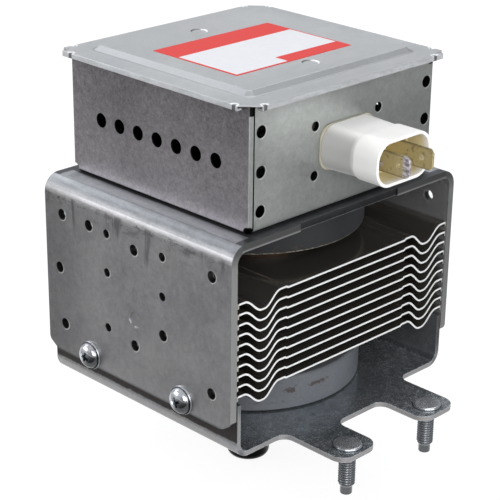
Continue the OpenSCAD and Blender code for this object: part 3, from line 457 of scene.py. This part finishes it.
def lid_marks_and_shading(f, colour, rough):
    """Fine rolling lines, a scuffed and dented rim, and painted light and shade: a lighter rim, a darker front, a
    dark crease round the panel, rings round its two marks that are bright on one side and dark on the other, and
    bright and dark dents.
    """
    x, y, z = f.axes()
    lines = f.grain(0.7, 3, (0.06, 1.0, 1.0))
    mark = (x - MARK_X).reach((y - MARK_Y).size() - MARK_HALF)
    ring = mark.step(2.0, 2.35) * mark.step(2.75, 2.5) * z.step(103.5, 103.8)
    ring_lit_side = (x - y + ((y - MARK_Y) * 1000).under(MARK_HALF).over(-MARK_HALF) + 0.1).step(-0.5, 1.2)
    lid_x, lid_y = (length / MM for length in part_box("filter_lid")[1][:2])
    beside, before = x.size() - lid_x + 0.3, y.size() - lid_y + 0.3
    dent = beside.reach(before + 5.7).under(before.reach(beside + 5.7))
    # The rim's outer faces: scuffs, and painted light that makes them lighter.
    rim = z.step(102.76, 102.6) * ((f.grain(0.35, 4, (0.5, 0.5, 1.6), rough=0.7) - 0.5) * 0.9 + 0.32)
    # Painted shade: a darker line in the crease at the foot of the panel.
    slope = (x.size() - lid_x + 9.6).over(0.0).reach((y.size() - lid_y + 9.6).over(0.0)) - 2.8
    crease = slope.step(-0.3, 0.1) * slope.step(0.7, 0.3) * z.step(103.2, 102.9)
    # Painted light and shade: darker towards the front, lighter to the right.
    across = 1 - y.step(-20, -36) * 0.09 + x.step(0, 30) * 0.05
    colour = f.shade(colour, (0.95 + lines * 0.1) * (1 - crease * 0.22) * (1 + rim) * across)
    # Painted light and shade: the rings round the marks are dark on one side and bright on the other.
    colour = f.blend(ring * 0.75, colour, f.blend(ring_lit_side, grey(0.42), grey(1.0)))
    # Painted highlight round each dent, and painted shade in its middle.
    colour = f.blend(dent.step(1.5, 1.2) * z.step(102.5, 102.65) * 0.7, colour, grey(0.95))
    rough = rough + (lines - 0.5) * 0.12 + z.step(102.79, 102.6) * 0.22
    return f.blend(dent.step(0.8, 0.6) * 0.8, colour, grey(0.26)), rough


yoke_steel = sheet_zinc("yoke_steel", 0.58, (1.0, 0.99, 1.01), 0.40, 0.03, 0.09, 0.30, yoke_marks_and_shading)
lower_steel = sheet_zinc("lower_yoke_steel", 0.62, (0.94, 1.0, 1.06), 0.19, 0.06, 0.12, 0.15, lower_marks_and_shading)
box_steel = sheet_zinc("box_steel", 0.64, EVEN, 0.38, 0.04, 0.06, 0.22, box_marks_and_shading)
lid_steel = sheet_zinc("lid_steel", 0.70, (0.985, 1.0, 1.02), 0.52, 0.01, 0.02, 0.06, lid_marks_and_shading)


def bright_zinc_finish():
    """Bright zinc plating, with painted light and shade: the screw heads go from bright to dark, the studs are
    darker down the thread and the point, and the groove and the recess of each screw are dark.
    """
    f = Finish("bright_zinc", 0.85)
    x, y, z = f.axes()
    clouds = f.grain(0.4, 3)
    fine = f.grain(3.0, 2)
    f.bump(fine, 0.1, 0.03)
    out = x.size()
    recess = (out.step(50.05, 49.85) * out.step(47.7, 47.9)
              * (y.size() - SCREW_Y).reach(z - SCREW_Z).step(2.7, 2.5))
    colour = f.blend(clouds, grey(0.95, (0.97, 0.99, 1.03)), grey(0.78))
    # Painted light and shade: each screw head bright on one side and dark on the other, its flange kept half bright.
    across = (y - (y * 1000).over(-1.0).under(1.0) * SCREW_Y) * 0.35 + (z - SCREW_Z) * 0.5
    screw = z.step(4, 6)
    flange = out.step(48.25, 48.15)
    # Painted shade: the stud heads a little darker, the threads darker, and the points darker still.
    stud_shade = z.step(-0.6, 0.6, 0.36, 0.84) * z.step(-11.5, -11.1, 0.45, 1.0)
    screw_light_and_shade = across.step(-1.3, 0.6, 0.13, 1.0).over(flange * 0.5)
    colour = f.shade(colour, stud_shade * (1 - screw * (1 - screw_light_and_shade)))
    # Painted shade in the groove round each screw head.
    groove = screw * out.step(48.15, 48.2) * out.step(48.5, 48.35)
    colour = f.blend(groove * 0.8, colour, (0.02, 0.025, 0.035))
    # Painted shade in the cross recesses.
    return f.set(Base_Color=f.blend(recess * 0.85, colour, (0.03, 0.05, 0.075)),
                 Roughness=0.14 + clouds * 0.12 - screw * 0.03,
                 Metallic=0.85 - screw * across.step(0.2, 0.9) * 0.35)


def magnet_finish():
    """Ground hard ferrite: grey with brown scuffs and fine pits, with painted shade on the upper magnet and at both
    contact lines, and a painted highlight on the upper magnet's lower edge.
    """
    f = Finish("ferrite_magnet", 0.1, **{"Specular IOR Level": 0.25})
    x, y, z = f.axes()
    clouds = f.grain(0.09, 4)
    pits = f.grain(2.2, 3)
    ragged = (f.grain(0.9, 4, (1, 1, 1.6), rough=0.75, shift=(4, 7, 1)) - 0.5) * 3.4
    blots = ((x + 14) / 1.8).reach((z - 7.9) / 1.0).under(((x + 4.8) / 4.0).reach((z - 8.8 - x * 0.05) / 0.8))
    scuffs = (blots + ragged).step(1.0, 0.55) * y.step(-10, -20)
    faint = f.grain(0.22, 3, (1, 1, 2.2), shift=(4, 7, 1)).step(0.60, 0.68) * 0.4
    # Painted shade: the upper magnet much darker, a little less so to the right.
    colour = f.shade(f.blend(clouds, grey(0.38, (0.96, 0.99, 1.04)), grey(0.46, (0.97, 0.99, 1.03))),
                     (0.72 + pits * 0.5) * (1 - z.step(30, 40) * (0.84 - x.step(0, 24) * 0.14)))
    f.bump(pits, 0.2, 0.05)
    colour = f.blend((scuffs * 0.8).over(faint), colour, (0.055, 0.038, 0.03))
    # Painted shade: black lines where the magnets meet the yokes.
    colour = f.blend(z.step(2.2, 2.0).over(z.step(62.3, 62.5)), colour, (0.006, 0.006, 0.007))
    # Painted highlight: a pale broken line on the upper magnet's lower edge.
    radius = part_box("upper_magnet")[1].x / MM
    rim_highlight = (z.step(52.75, 52.55) * z.step(51.9, 52.05) * pits.step(0.4, 0.6)
            * x.reach(y).step(radius - 0.5, radius - 0.3))
    return f.set(Base_Color=f.blend(rim_highlight * 0.9, colour, (0.46, 0.42, 0.34)), Roughness=0.42 + pits * 0.2)


def fin_finish():
    """Aluminium sheet: dull faces with a brownish tint that paints a reflection, and edges made bright as a painted
    highlight, less so at the side plates.
    """
    f = Finish("fin_aluminium")
    x, y = f.axes()[:2]
    lines = f.grain(0.5, 3, (0.05, 1.0, 1.0))
    clouds = f.grain(0.06, 3)
    # Painted highlight: the front and back edges bright, less so at the side plates.
    edge = y.size().step(FRONT_END - 0.2, FRONT_END - 0.1) * x.size().step(44.6, 44.3, 0.25, 1.0)
    # Painted reflection: a brownish tint on the faces.
    warm_reflection_tint = (1.0, 0.97, 0.92)
    face = f.blend(clouds, grey(0.62, warm_reflection_tint), grey(0.54, warm_reflection_tint))
    return f.set(Base_Color=f.blend(edge, face, grey(0.91)), Roughness=0.12 + lines * 0.12 + edge * 0.2,
                 Metallic=0.91 - edge * 0.66)


def turned_metal(name, level, tint, roughness):
    """Drawn or turned metal with fine rings round the axis."""
    f = Finish(name, 1.0)
    rings = f.grain(0.8, 2, (0.15, 0.15, 2.0))
    clouds = f.grain(0.15, 3)
    f.bump(rings, 0.12, 0.03)
    tone = 0.9 + clouds * 0.12 + rings * 0.08
    return f.set(Base_Color=f.shade(f.blend(clouds, grey(level, tint), grey(level * 0.93, tint)), tone),
                 Roughness=roughness + (clouds - 0.5) * 0.15)


def ceramic_finish(name, colour, dark):
    """Fired ceramic with fine pores."""
    f = Finish(name)
    clouds = f.grain(0.2, 4)
    pores = f.grain(3.5, 2)
    f.bump(pores, 0.15, 0.04)
    return f.set(Base_Color=f.blend(clouds, colour, dark), Roughness=0.5 + pores * 0.25)


def moulded_finish(name, colour, other, roughness, deep=None):
    """Moulded plastic. Deep, if given, is the colour inside the terminal housing, and then the tube's left side also
    gets painted shade.
    """
    f = Finish(name, 0.0, **{"Specular IOR Level": 0.4})
    clouds = f.grain(0.12, 3)
    fine = f.grain(1.8, 2)
    f.bump(fine, 0.06, 0.04)
    colour = f.blend(clouds, colour, other)
    if deep:
        x, y, z = f.axes()
        aside = ((x - PORT_X).size() - PORT_FLAT_X).over(0.0)
        outward = aside.reach(((z - PORT_Z).size() - PORT_FLAT_Z).over(0.0)) - 5.8
        colour = f.blend(outward.step(-0.75, -0.95) * y.step(-57.6, -55), colour, deep)
        # Painted shade on the left side of the tube.
        colour = f.shade(colour, 1 - x.step(-6.0, -9.6) * y.step(-49.6, -47.5) * 0.5)
    return f.set(Base_Color=colour, Roughness=roughness + (fine - 0.5) * 0.1)


def label_finish():
    """Printed film with plain fields of colour."""
    f = Finish("label_film", 0.0, **{"Coat Weight": 0.15, "Coat Roughness": 0.25})
    x, y = f.axes()[:2]
    edge = 0.08

    def field(x1, x2, y1, y2):
        return (x.step(x1 - edge, x1 + edge) * x.step(x2 + edge, x2 - edge)
                * y.step(y1 - edge, y1 + edge) * y.step(y2 + edge, y2 - edge))

    white, red = (0.74, 0.74, 0.77), (0.69, 0.025, 0.018)
    inner = field(-24.9, 20.9, -18.35, 14.75)
    band = field(-40, 40, 5.2, 40)
    foot = field(-4.7, 40, -40, -13.4)
    colour = f.blend(inner, red, white)
    colour = f.blend(band.over(foot), colour, red)
    wear = f.grain(0.5, 4)
    colour = f.shade(colour, 0.94 + wear * 0.12)
    f.bump(wear, 0.05, 0.05)
    return f.set(Base_Color=colour, Roughness=0.38 + wear * 0.14)


def brass_tab_finish():
    """Tinned brass tab, olive, with darker edges, paler rubbed spots and one bare coined tip."""
    f = Finish("terminal_brass", 0.45)
    x, y, z = f.axes()
    clouds = f.grain(0.35, 4)
    rubbed = f.grain(0.9, 3, shift=(2, 5, 0)).step(0.56, 0.72)
    colour = f.blend(clouds, (0.44, 0.355, 0.17), (0.60, 0.51, 0.28))
    stains = f.grain(0.6, 4, rough=0.7, shift=(9, 1, 4)).step(0.54, 0.68)
    colour = f.blend(stains * 0.6, colour, (0.11, 0.085, 0.05))
    rim = (z - PORT_Z).size().step(2.5, 3.1) * y.step(-36, -37)
    colour = f.blend(rim * 0.6, colour, (0.075, 0.06, 0.03))
    colour = f.blend(rubbed * 0.5, colour, (0.55, 0.52, 0.40))
    dent = (y + 54.2).size().step(0.95, 0.75) * (z - 82.9).size().step(0.8, 0.6)
    tip = y.step(-61.8, -62.1) * f.grain(0.8, 3).step(0.30, 0.42)
    bare = tip.over(dent * 0.8) * x.step(-2, -3)
    f.bump(clouds, 0.15, 0.04)
    streaks = f.grain(1.5, 2, (1, 0.3, 1)).step(0.4, 0.6)
    metal = f.blend(streaks, (0.25, 0.215, 0.235), (0.66, 0.63, 0.66))
    return f.set(Base_Color=f.blend(bare, colour, metal), Roughness=0.34 + clouds * 0.2)


def copper_finish(name, colour, dark, roughness):
    """Copper, bare or enamelled."""
    f = Finish(name, 1.0)
    clouds = f.grain(0.25, 4)
    f.bump(clouds, 0.08, 0.04)
    return f.set(Base_Color=f.blend(clouds, colour, dark), Roughness=roughness + clouds * 0.15)


bright_zinc = bright_zinc_finish()
magnet_ferrite = magnet_finish()
fin_aluminium = fin_finish()
tube_steel = turned_metal("tube_steel", 0.70, EVEN, 0.32)
cap_steel = turned_metal("cap_steel", 0.085, (1.0, 1.0, 1.02), 0.32)
cathode_metal = turned_metal("cathode_metal", 0.52, EVEN, 0.45)
gasket_wire = turned_metal("gasket_mesh", 0.62, (1.02, 1.0, 0.94), 0.30)
white_ceramic = ceramic_finish("white_ceramic", (0.72, 0.68, 0.62), (0.62, 0.57, 0.50))
pink_ceramic = ceramic_finish("pink_ceramic", (0.66, 0.47, 0.42), (0.56, 0.38, 0.33))
capacitor_body = ceramic_finish("capacitor_ceramic", (0.52, 0.46, 0.33), (0.44, 0.38, 0.26))
core_ferrite = ceramic_finish("ferrite_core", (0.03, 0.03, 0.032), (0.05, 0.05, 0.05))
housing_plastic = moulded_finish("housing_plastic", (0.91, 0.90, 0.885), (0.86, 0.85, 0.825), 0.40,
                                 (0.74, 0.65, 0.40))
capacitor_plastic = moulded_finish("capacitor_plastic", (0.74, 0.70, 0.60), (0.66, 0.62, 0.52), 0.45)
seal_rubber = moulded_finish("seal_rubber", (0.46, 0.43, 0.35), (0.37, 0.34, 0.26), 0.6)
label_film = label_finish()
tab_brass = brass_tab_finish()
bare_copper = copper_finish("copper", (0.36, 0.18, 0.11), (0.24, 0.12, 0.08), 0.32)
enamel_copper = copper_finish("enamelled_copper", (0.30, 0.09, 0.03), (0.22, 0.06, 0.02), 0.25)

finishes = {
    "yoke_steel": yoke_steel, "lower_yoke_steel": lower_steel, "bright_zinc": bright_zinc,
    "ferrite_magnet": magnet_ferrite, "copper": bare_copper, "tube_steel": tube_steel,
    "cathode_metal": cathode_metal, "white_ceramic": white_ceramic, "pink_ceramic": pink_ceramic,
    "cap_steel": cap_steel, "gasket_mesh": gasket_wire, "fin_aluminium": fin_aluminium,
    "box_steel": box_steel, "lid_steel": lid_steel, "label_film": label_film,
    "housing_plastic": housing_plastic, "seal_rubber": seal_rubber, "capacitor_ceramic": capacitor_body,
    "capacitor_plastic": capacitor_plastic, "terminal_brass": tab_brass,
    "enamelled_copper": enamel_copper, "ferrite_core": core_ferrite,
}
slots = {part["node"]: part["material_slot"] for part in frame["record"]["subparts"]}
for name, cad in nodes.items():
    cad.data.materials.clear()
    cad.data.materials.append(finishes[slots[name]])


def finished(node, width, segments=2, angle=26, first=None):
    """A copy of a node with rounded edges, which stands for it. First, if given, works on the copy before that."""
    bm = solid_copy(node)
    if first:
        first(bm)
    round_edges(bm, sharp_edges(bm, angle), width, segments)
    name, slot = node + "_finished", slots[node]
    return piece(name, to_mesh(bm, name), finishes[slot], (node,))


# Sheet metal with rounded edges

def box_corner(a, b):
    """The upright outer corners of the filter box."""
    upright = abs(a.co.x - b.co.x) < 1e-5 and abs(a.co.y - b.co.y) < 1e-5 and abs(a.co.z - b.co.z) > 5 * MM
    return upright and abs(a.co.x) > 38.2 * MM and abs(a.co.y) > 36.7 * MM


def hem_edge(a, b):
    """The outer edges of the lid's folded rim, above and below."""
    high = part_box("filter_lid")[1]
    return all(abs(v.co.x) > high.x - 1e-5 or abs(v.co.y) > high.y - 1e-5 for v in (a, b)) \
        and abs(a.co.z - b.co.z) < 1e-5


def on_panel(v):
    return abs(v.co.x) < PANEL_X * MM and abs(v.co.y) < PANEL_Y * MM


def panel_top(a, b):
    """The upper edges of the raised panel's slope."""
    return all(on_panel(v) and v.co.z > 104.0 * MM for v in (a, b))


def panel_foot(a, b):
    """The lower edges of the raised panel's slope, seen from above."""
    return all(on_panel(v) and 102.7 * MM < v.co.z < 103 * MM for v in (a, b))


def plate_corner(a, b):
    """The two edges of each cut at a side plate's lower corners."""
    return (abs(a.co.y - b.co.y) < 1e-5 and abs(a.co.z - b.co.z) < 1e-5 and abs(a.co.y) > 35 * MM
            and a.co.z < 14 * MM)


finished("upper_yoke", 0.3, first=lambda bm: round_edges(bm, sharp_edges(bm, 20, plate_corner), 1.0, 4))
finished("lower_yoke", 0.22)


def box_first(bm):
    """Rounds the upright corners and adds the folded tab that backs each corner notch."""
    round_edges(bm, sharp_edges(bm, 40, box_corner), 0.8, 4)
    for x in (-1, 1):
        for y in (-1, 1):
            place = Matrix.Translation(Vector((x * 36.4, y * 35.85, 98.9)) * MM) @ Matrix.Diagonal(
                (2.2 * MM, 0.3 * MM, 6.2 * MM, 1))
            bmesh.ops.create_cube(bm, size=1.0, matrix=place)


finished("filter_box", 0.10, first=box_first)


def lid_first(bm):
    """Rounds the folded rim and the edges of the raised panel."""
    round_edges(bm, sharp_edges(bm, 40, hem_edge), 0.42, 4)
    round_edges(bm, sharp_edges(bm, 12, panel_top), 0.9, 6)
    round_edges(bm, sharp_edges(bm, 12, panel_foot), 1.2, 6)


def crimps():
    """Round dents near the ends of the lid's folded rim, where it is pressed onto the box."""
    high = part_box("filter_lid")[1]
    cutter = bmesh.new()
    for x in (-1, 1):
        for y in (-1, 1):
            for place in ((high.x / MM - 0.3, high.y / MM - 6.0), (high.x / MM - 6.0, high.y / MM - 0.3)):
                middle = Matrix.Translation(Vector((x * place[0], y * place[1], 103.45)) * MM)
                bmesh.ops.create_icosphere(cutter, subdivisions=3, radius=1.15 * MM, matrix=middle)
    return cutter


carve(finished("filter_lid", 0.08, first=lid_first), crimps())
for part in ("upper_magnet", "lower_magnet"):
    finished(part, 0.2)
for part in [name for name in nodes if name.startswith("fin_")]:
    finished(part, 0.12, angle=40)


def housing_taper(bm):
    """Widens the housing's tube towards the wall, as its mould's draft does."""
    foot = max(v.co.y for v in bm.verts)
    for v in bm.verts:
        x, z = v.co.x / MM - PORT_X, v.co.z / MM - PORT_Z
        corner = Vector((max(0.0, abs(x) - PORT_FLAT_X), max(0.0, abs(z) - PORT_FLAT_Z)))
        if v.co.y > foot - 1e-5 and corner.length > 4.9:
            push = corner.normalized() * 0.42
            v.co.x += math.copysign(push.x, x) * MM
            v.co.z += math.copysign(push.y, z) * MM


finished("terminal_housing", 0.3, 3, first=housing_taper)
finished("seal_ring", 0.15)
for part in ("terminal_left", "terminal_right"):
    finished(part, 0.14)
finished("antenna_cap", 0.2)
finished("rating_label", 0.03, 1)


# Studs with rolled threads

PITCH, CORE_R, CREST_R = 0.8, 2.28, 2.5


def stud(bm, x, y):
    """One stud: flat head, threaded shank and a plain pilot point."""
    sheet = LOWER_SHEET
    lathe(bm, [(0, sheet + 0.80), (3.3, sheet + 0.80), (3.66, sheet + 0.80), (3.8, sheet + 0.785),
               (3.98, sheet + 0.71), (4.12, sheet + 0.58), (4.2, sheet + 0.36), (4.16, sheet + 0.12),
               (4.05, sheet)], (x, y, 0), 64)
    steps, rows, top, foot = 40, 112, 0.1, -11.1
    rings = []
    for row in range(rows + 1):
        z = top + (foot - top) * row / rows
        fade = min(1.0, (top - z) / 0.8, (z - foot) / 0.7)
        ring = []
        for i in range(steps):
            turn = i / steps
            wave = abs(((z / PITCH - turn) % 1.0) * 2 - 1)
            wave = min(1.0, max(0.0, (wave - 0.12) / 0.7))
            radius = CORE_R + fade * (CREST_R - CORE_R - 0.46 * (1 - wave))
            if z < foot + 0.5:
                radius -= (foot + 0.5 - z) * 0.5
            angle = 2 * math.pi * turn
            place = Vector((x + radius * math.cos(angle), y + radius * math.sin(angle), z))
            ring.append(bm.verts.new(place * MM))
        rings.append(ring)
    for low, high in zip(rings, rings[1:]):
        for i in range(steps):
            bm.faces.new((low[i], low[(i + 1) % steps], high[(i + 1) % steps], high[i]))
    lathe(bm, [(2.03, foot), (1.86, -11.35), (1.8, -11.5), (1.8, -13.55), (1.72, -13.8), (1.55, -13.9),
               (0, -13.9)], (x, y, 0), 40)


bm = bmesh.new()
for side in (-1, 1):
    for end in (-1, 1):
        stud(bm, side * STUD_X, end * STUD_Y)
piece("studs_threaded", to_mesh(bm, "studs_threaded"), bright_zinc, ("mounting_studs",), 40, False)


# Pan head screws with a cross recess

def pan_screws():
    """Four screw heads whose axis is X, with their shanks."""
    bm = bmesh.new()
    cutter = bmesh.new()
    for side in (-1, 1):
        for y in (-SCREW_Y, SCREW_Y):
            turn = Matrix.Rotation(math.radians(90 * side), 4, "Y")
            place = (side * PLATE_OUT, y, SCREW_Z)
            lathe(bm, [(0, -6.1), (1.6, -6.1), (2.0, -5.7), (2.0, 0), (4.3, 0), (4.4, 0.1), (4.4, 0.52),
                       (4.3, 0.68), (3.9, 0.7), (3.86, 1.15), (3.6, 1.7), (3.0, 2.27), (2.2, 2.64), (1.1, 2.85),
                       (0, 2.9)], place, 64, turn)
            spin = math.radians(24 if y < 0 else -12)
            for quarter in (0, 90):
                frame_at = (Matrix.Translation(Vector(place) * MM) @ turn
                            @ Matrix.Rotation(math.radians(quarter) + spin, 4, "Z"))
                corners = []
                for height, half_length, half_width in ((3.4, 1.95, 0.52), (1.2, 0.95, 0.36)):
                    corners.append([
                        cutter.verts.new(frame_at @ (Vector((sx * half_length, sy * half_width, height)) * MM))
                        for sx, sy in ((-1, -1), (1, -1), (1, 1), (-1, 1))])
                top, foot = corners
                cutter.faces.new(top)
                cutter.faces.new(foot[::-1])
                for i in range(4):
                    cutter.faces.new((top[i], foot[i], foot[(i + 1) % 4], top[(i + 1) % 4]))
    mesh = to_mesh(bm, "yoke_screws_finished")
    carve(piece("yoke_screws_finished", mesh, bright_zinc, ("yoke_screws",), 35, False), cutter, 35)


pan_screws()


# Knitted gasket

def woven_gasket():
    """A ring of wires that cross over and under each other round a core."""
    low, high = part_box("mesh_gasket")
    inner = min(math.hypot(v.co.x, v.co.y) for v in nodes["mesh_gasket"].data.vertices)
    wire, count, turns, steps = 0.16 * MM, 9, 26, 364
    middle_r, middle_z = (high.x + inner) / 2, (high.z + low.z) / 2
    half_w, half_h = (high.x - inner) / 2 - 2 * wire, (high.z - low.z) / 2 - 2 * wire
    bm = bmesh.new()

    def place(around, section, rise):
        radius = middle_r + (half_w + rise) * math.cos(section)
        return Vector((radius * math.cos(around), radius * math.sin(around),
                       middle_z + (half_h + rise) * math.sin(section)))

    for way in (-1, 1):
        for first in range(count):
            rings = []
            for i in range(steps):
                around = 2 * math.pi * i / steps
                section = way * turns * around + 2 * math.pi * first / count
                rise = way * 0.5 * wire * math.cos(count * turns * around)
                centre = place(around, section, rise)
                ahead = place(around + 0.002, section + way * turns * 0.002, rise) - centre
                out = (place(around, section, rise + wire) - centre).normalized()
                side = ahead.normalized().cross(out).normalized()
                rings.append([bm.verts.new(centre + (out * u + side * v) * wire)
                              for u, v in ((1, 0), (0, 1), (-1, 0), (0, -1))])
            for i in range(steps):
                one, two = rings[i], rings[(i + 1) % steps]
                for j in range(4):
                    bm.faces.new((one[j], one[(j + 1) % 4], two[(j + 1) % 4], two[j]))
    long, short = 96, 24
    core = [[bm.verts.new(place(2 * math.pi * i / long, 2 * math.pi * j / short, -1.2 * wire)) for j in range(short)]
            for i in range(long)]
    for i in range(long):
        one, two = core[i], core[(i + 1) % long]
        for j in range(short):
            bm.faces.new((one[j], two[j], two[(j + 1) % short], one[(j + 1) % short]))
    piece("gasket_knitted", to_mesh(bm, "gasket_knitted"), gasket_wire, ("mesh_gasket",), 60, False)


woven_gasket()


# Floor, light and camera

def stage_floor():
    """A pale floor that looks white and keeps the object's shadow."""
    size, level = 12.0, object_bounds()[0].z
    mesh = bpy.data.meshes.new("floor")
    mesh.from_pydata([(-size, -size, level), (size, -size, level), (size, size, level), (-size, size, level)], [],
                     [(0, 1, 2, 3)])
    floor = bpy.data.objects.new("floor", mesh)
    bpy.context.scene.collection.objects.link(floor)
    f = Finish("floor_white")
    paper = f.set(Base_Color=(0.92, 0.92, 0.92), Roughness=0.9)
    rays = f.node("ShaderNodeLightPath").socket.node.outputs
    seen = Value(f, rays["Is Camera Ray"]).over(Value(f, rays["Is Glossy Ray"])).over(
        Value(f, rays["Is Transmission Ray"]))
    glow = f.node("ShaderNodeEmission", {}, {"Color": (1.0, 1.0, 1.0), "Strength": 1.08})
    mixed = f.node("ShaderNodeMixShader", {}, {0: seen * 0.82, 1: f.shader.outputs[0], 2: glow})
    out = next(n for n in f.tree.nodes if n.type == "OUTPUT_MATERIAL")
    f.tree.links.new(mixed.socket, out.inputs["Surface"])
    mesh.materials.append(paper)
    floor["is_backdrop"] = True


def softbox(name, place, target, size, power, tint=EVEN):
    """A soft lamp that points at the target."""
    lamp = bpy.data.lights.new(name, "AREA")
    lamp.shape = "RECTANGLE"
    lamp.size, lamp.size_y = size
    lamp.energy = power
    lamp.color = tint
    made = bpy.data.objects.new(name, lamp)
    made.location = place
    made.rotation_euler = (Vector(target) - Vector(place)).to_track_quat("-Z", "Y").to_euler()
    made.visible_camera = False
    bpy.context.scene.collection.objects.link(made)


def stage_card(name, corner, size, height):
    """A dark card on the floor beside the object, seen only in its bright sheet metal."""
    x, y = corner
    mesh = bpy.data.meshes.new(name)
    mesh.from_pydata([(x, y, height), (x + size[0], y, height), (x + size[0], y + size[1], height),
                      (x, y + size[1], height)], [], [(0, 1, 2, 3)])
    card = bpy.data.objects.new(name, mesh)
    bpy.context.scene.collection.objects.link(card)
    mesh.materials.append(Finish("card_black").set(Base_Color=(0.02, 0.02, 0.02), Roughness=0.8))
    card.visible_camera = False
    card.visible_shadow = False
    card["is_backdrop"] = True


def stage_world():
    """Faint even light from all round."""
    world = bpy.data.worlds.new("studio")
    bpy.context.scene.world = world
    world.use_nodes = True
    background = world.node_tree.nodes["Background"]
    background.inputs["Color"].default_value = (0.9, 0.95, 1.0, 1.0)
    background.inputs["Strength"].default_value = 0.3


def stage_camera():
    """The camera that the photo's straight edges give."""
    azimuth, elevation, roll = (math.radians(a) for a in (-45.584, 22.717, 0.888))
    back = Vector((math.sin(azimuth) * math.cos(elevation), -math.cos(azimuth) * math.cos(elevation),
                   math.sin(elevation)))
    right = Vector((math.cos(azimuth), math.sin(azimuth), 0))
    up = back.cross(right)
    tilt_right = math.cos(roll) * right + math.sin(roll) * up
    tilt_up = -math.sin(roll) * right + math.cos(roll) * up
    lens = bpy.data.cameras.new("camera")
    lens.sensor_width = 36
    lens.lens = 117.67
    lens.shift_x, lens.shift_y = -0.0168, 0.0135
    lens.clip_start = 0.01
    camera = bpy.data.objects.new("camera", lens)
    turn = Matrix((tilt_right, tilt_up, back)).transposed()
    camera.matrix_world = Matrix.Translation((-0.32976, -0.32646, 0.23164)) @ turn.to_4x4()
    bpy.context.scene.collection.objects.link(camera)
    bpy.context.scene.camera = camera


stage_floor()
stage_world()
stage_camera()
floor_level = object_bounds()[0].z
stage_card("card_left", (-0.62, -0.3), (0.53, 0.92), floor_level + 0.001)
stage_card("card_right", (0.10, -0.62), (0.5, 0.55), floor_level + 0.001)
softbox("key", (0.35, 0.25, 0.9), (0, 0, 0.05), (0.7, 0.7), 4.8)
softbox("back", (-0.1, 0.8, 0.7), (0, 0, 0.06), (0.6, 0.5), 2.0, (0.95, 0.98, 1.0))
softbox("left", (-0.56, 0.55, 0.32), (0, 0, 0.06), (0.5, 0.4), 3)
softbox("front", (-0.05, -0.95, 0.32), (0, 0, 0.05), (0.5, 0.5), 3.5)
softbox("fill", (-0.6, -0.7, 0.5), (0, 0, 0.05), (0.7, 0.7), 6.5)
bpy.context.scene.view_settings.view_transform = "Standard"
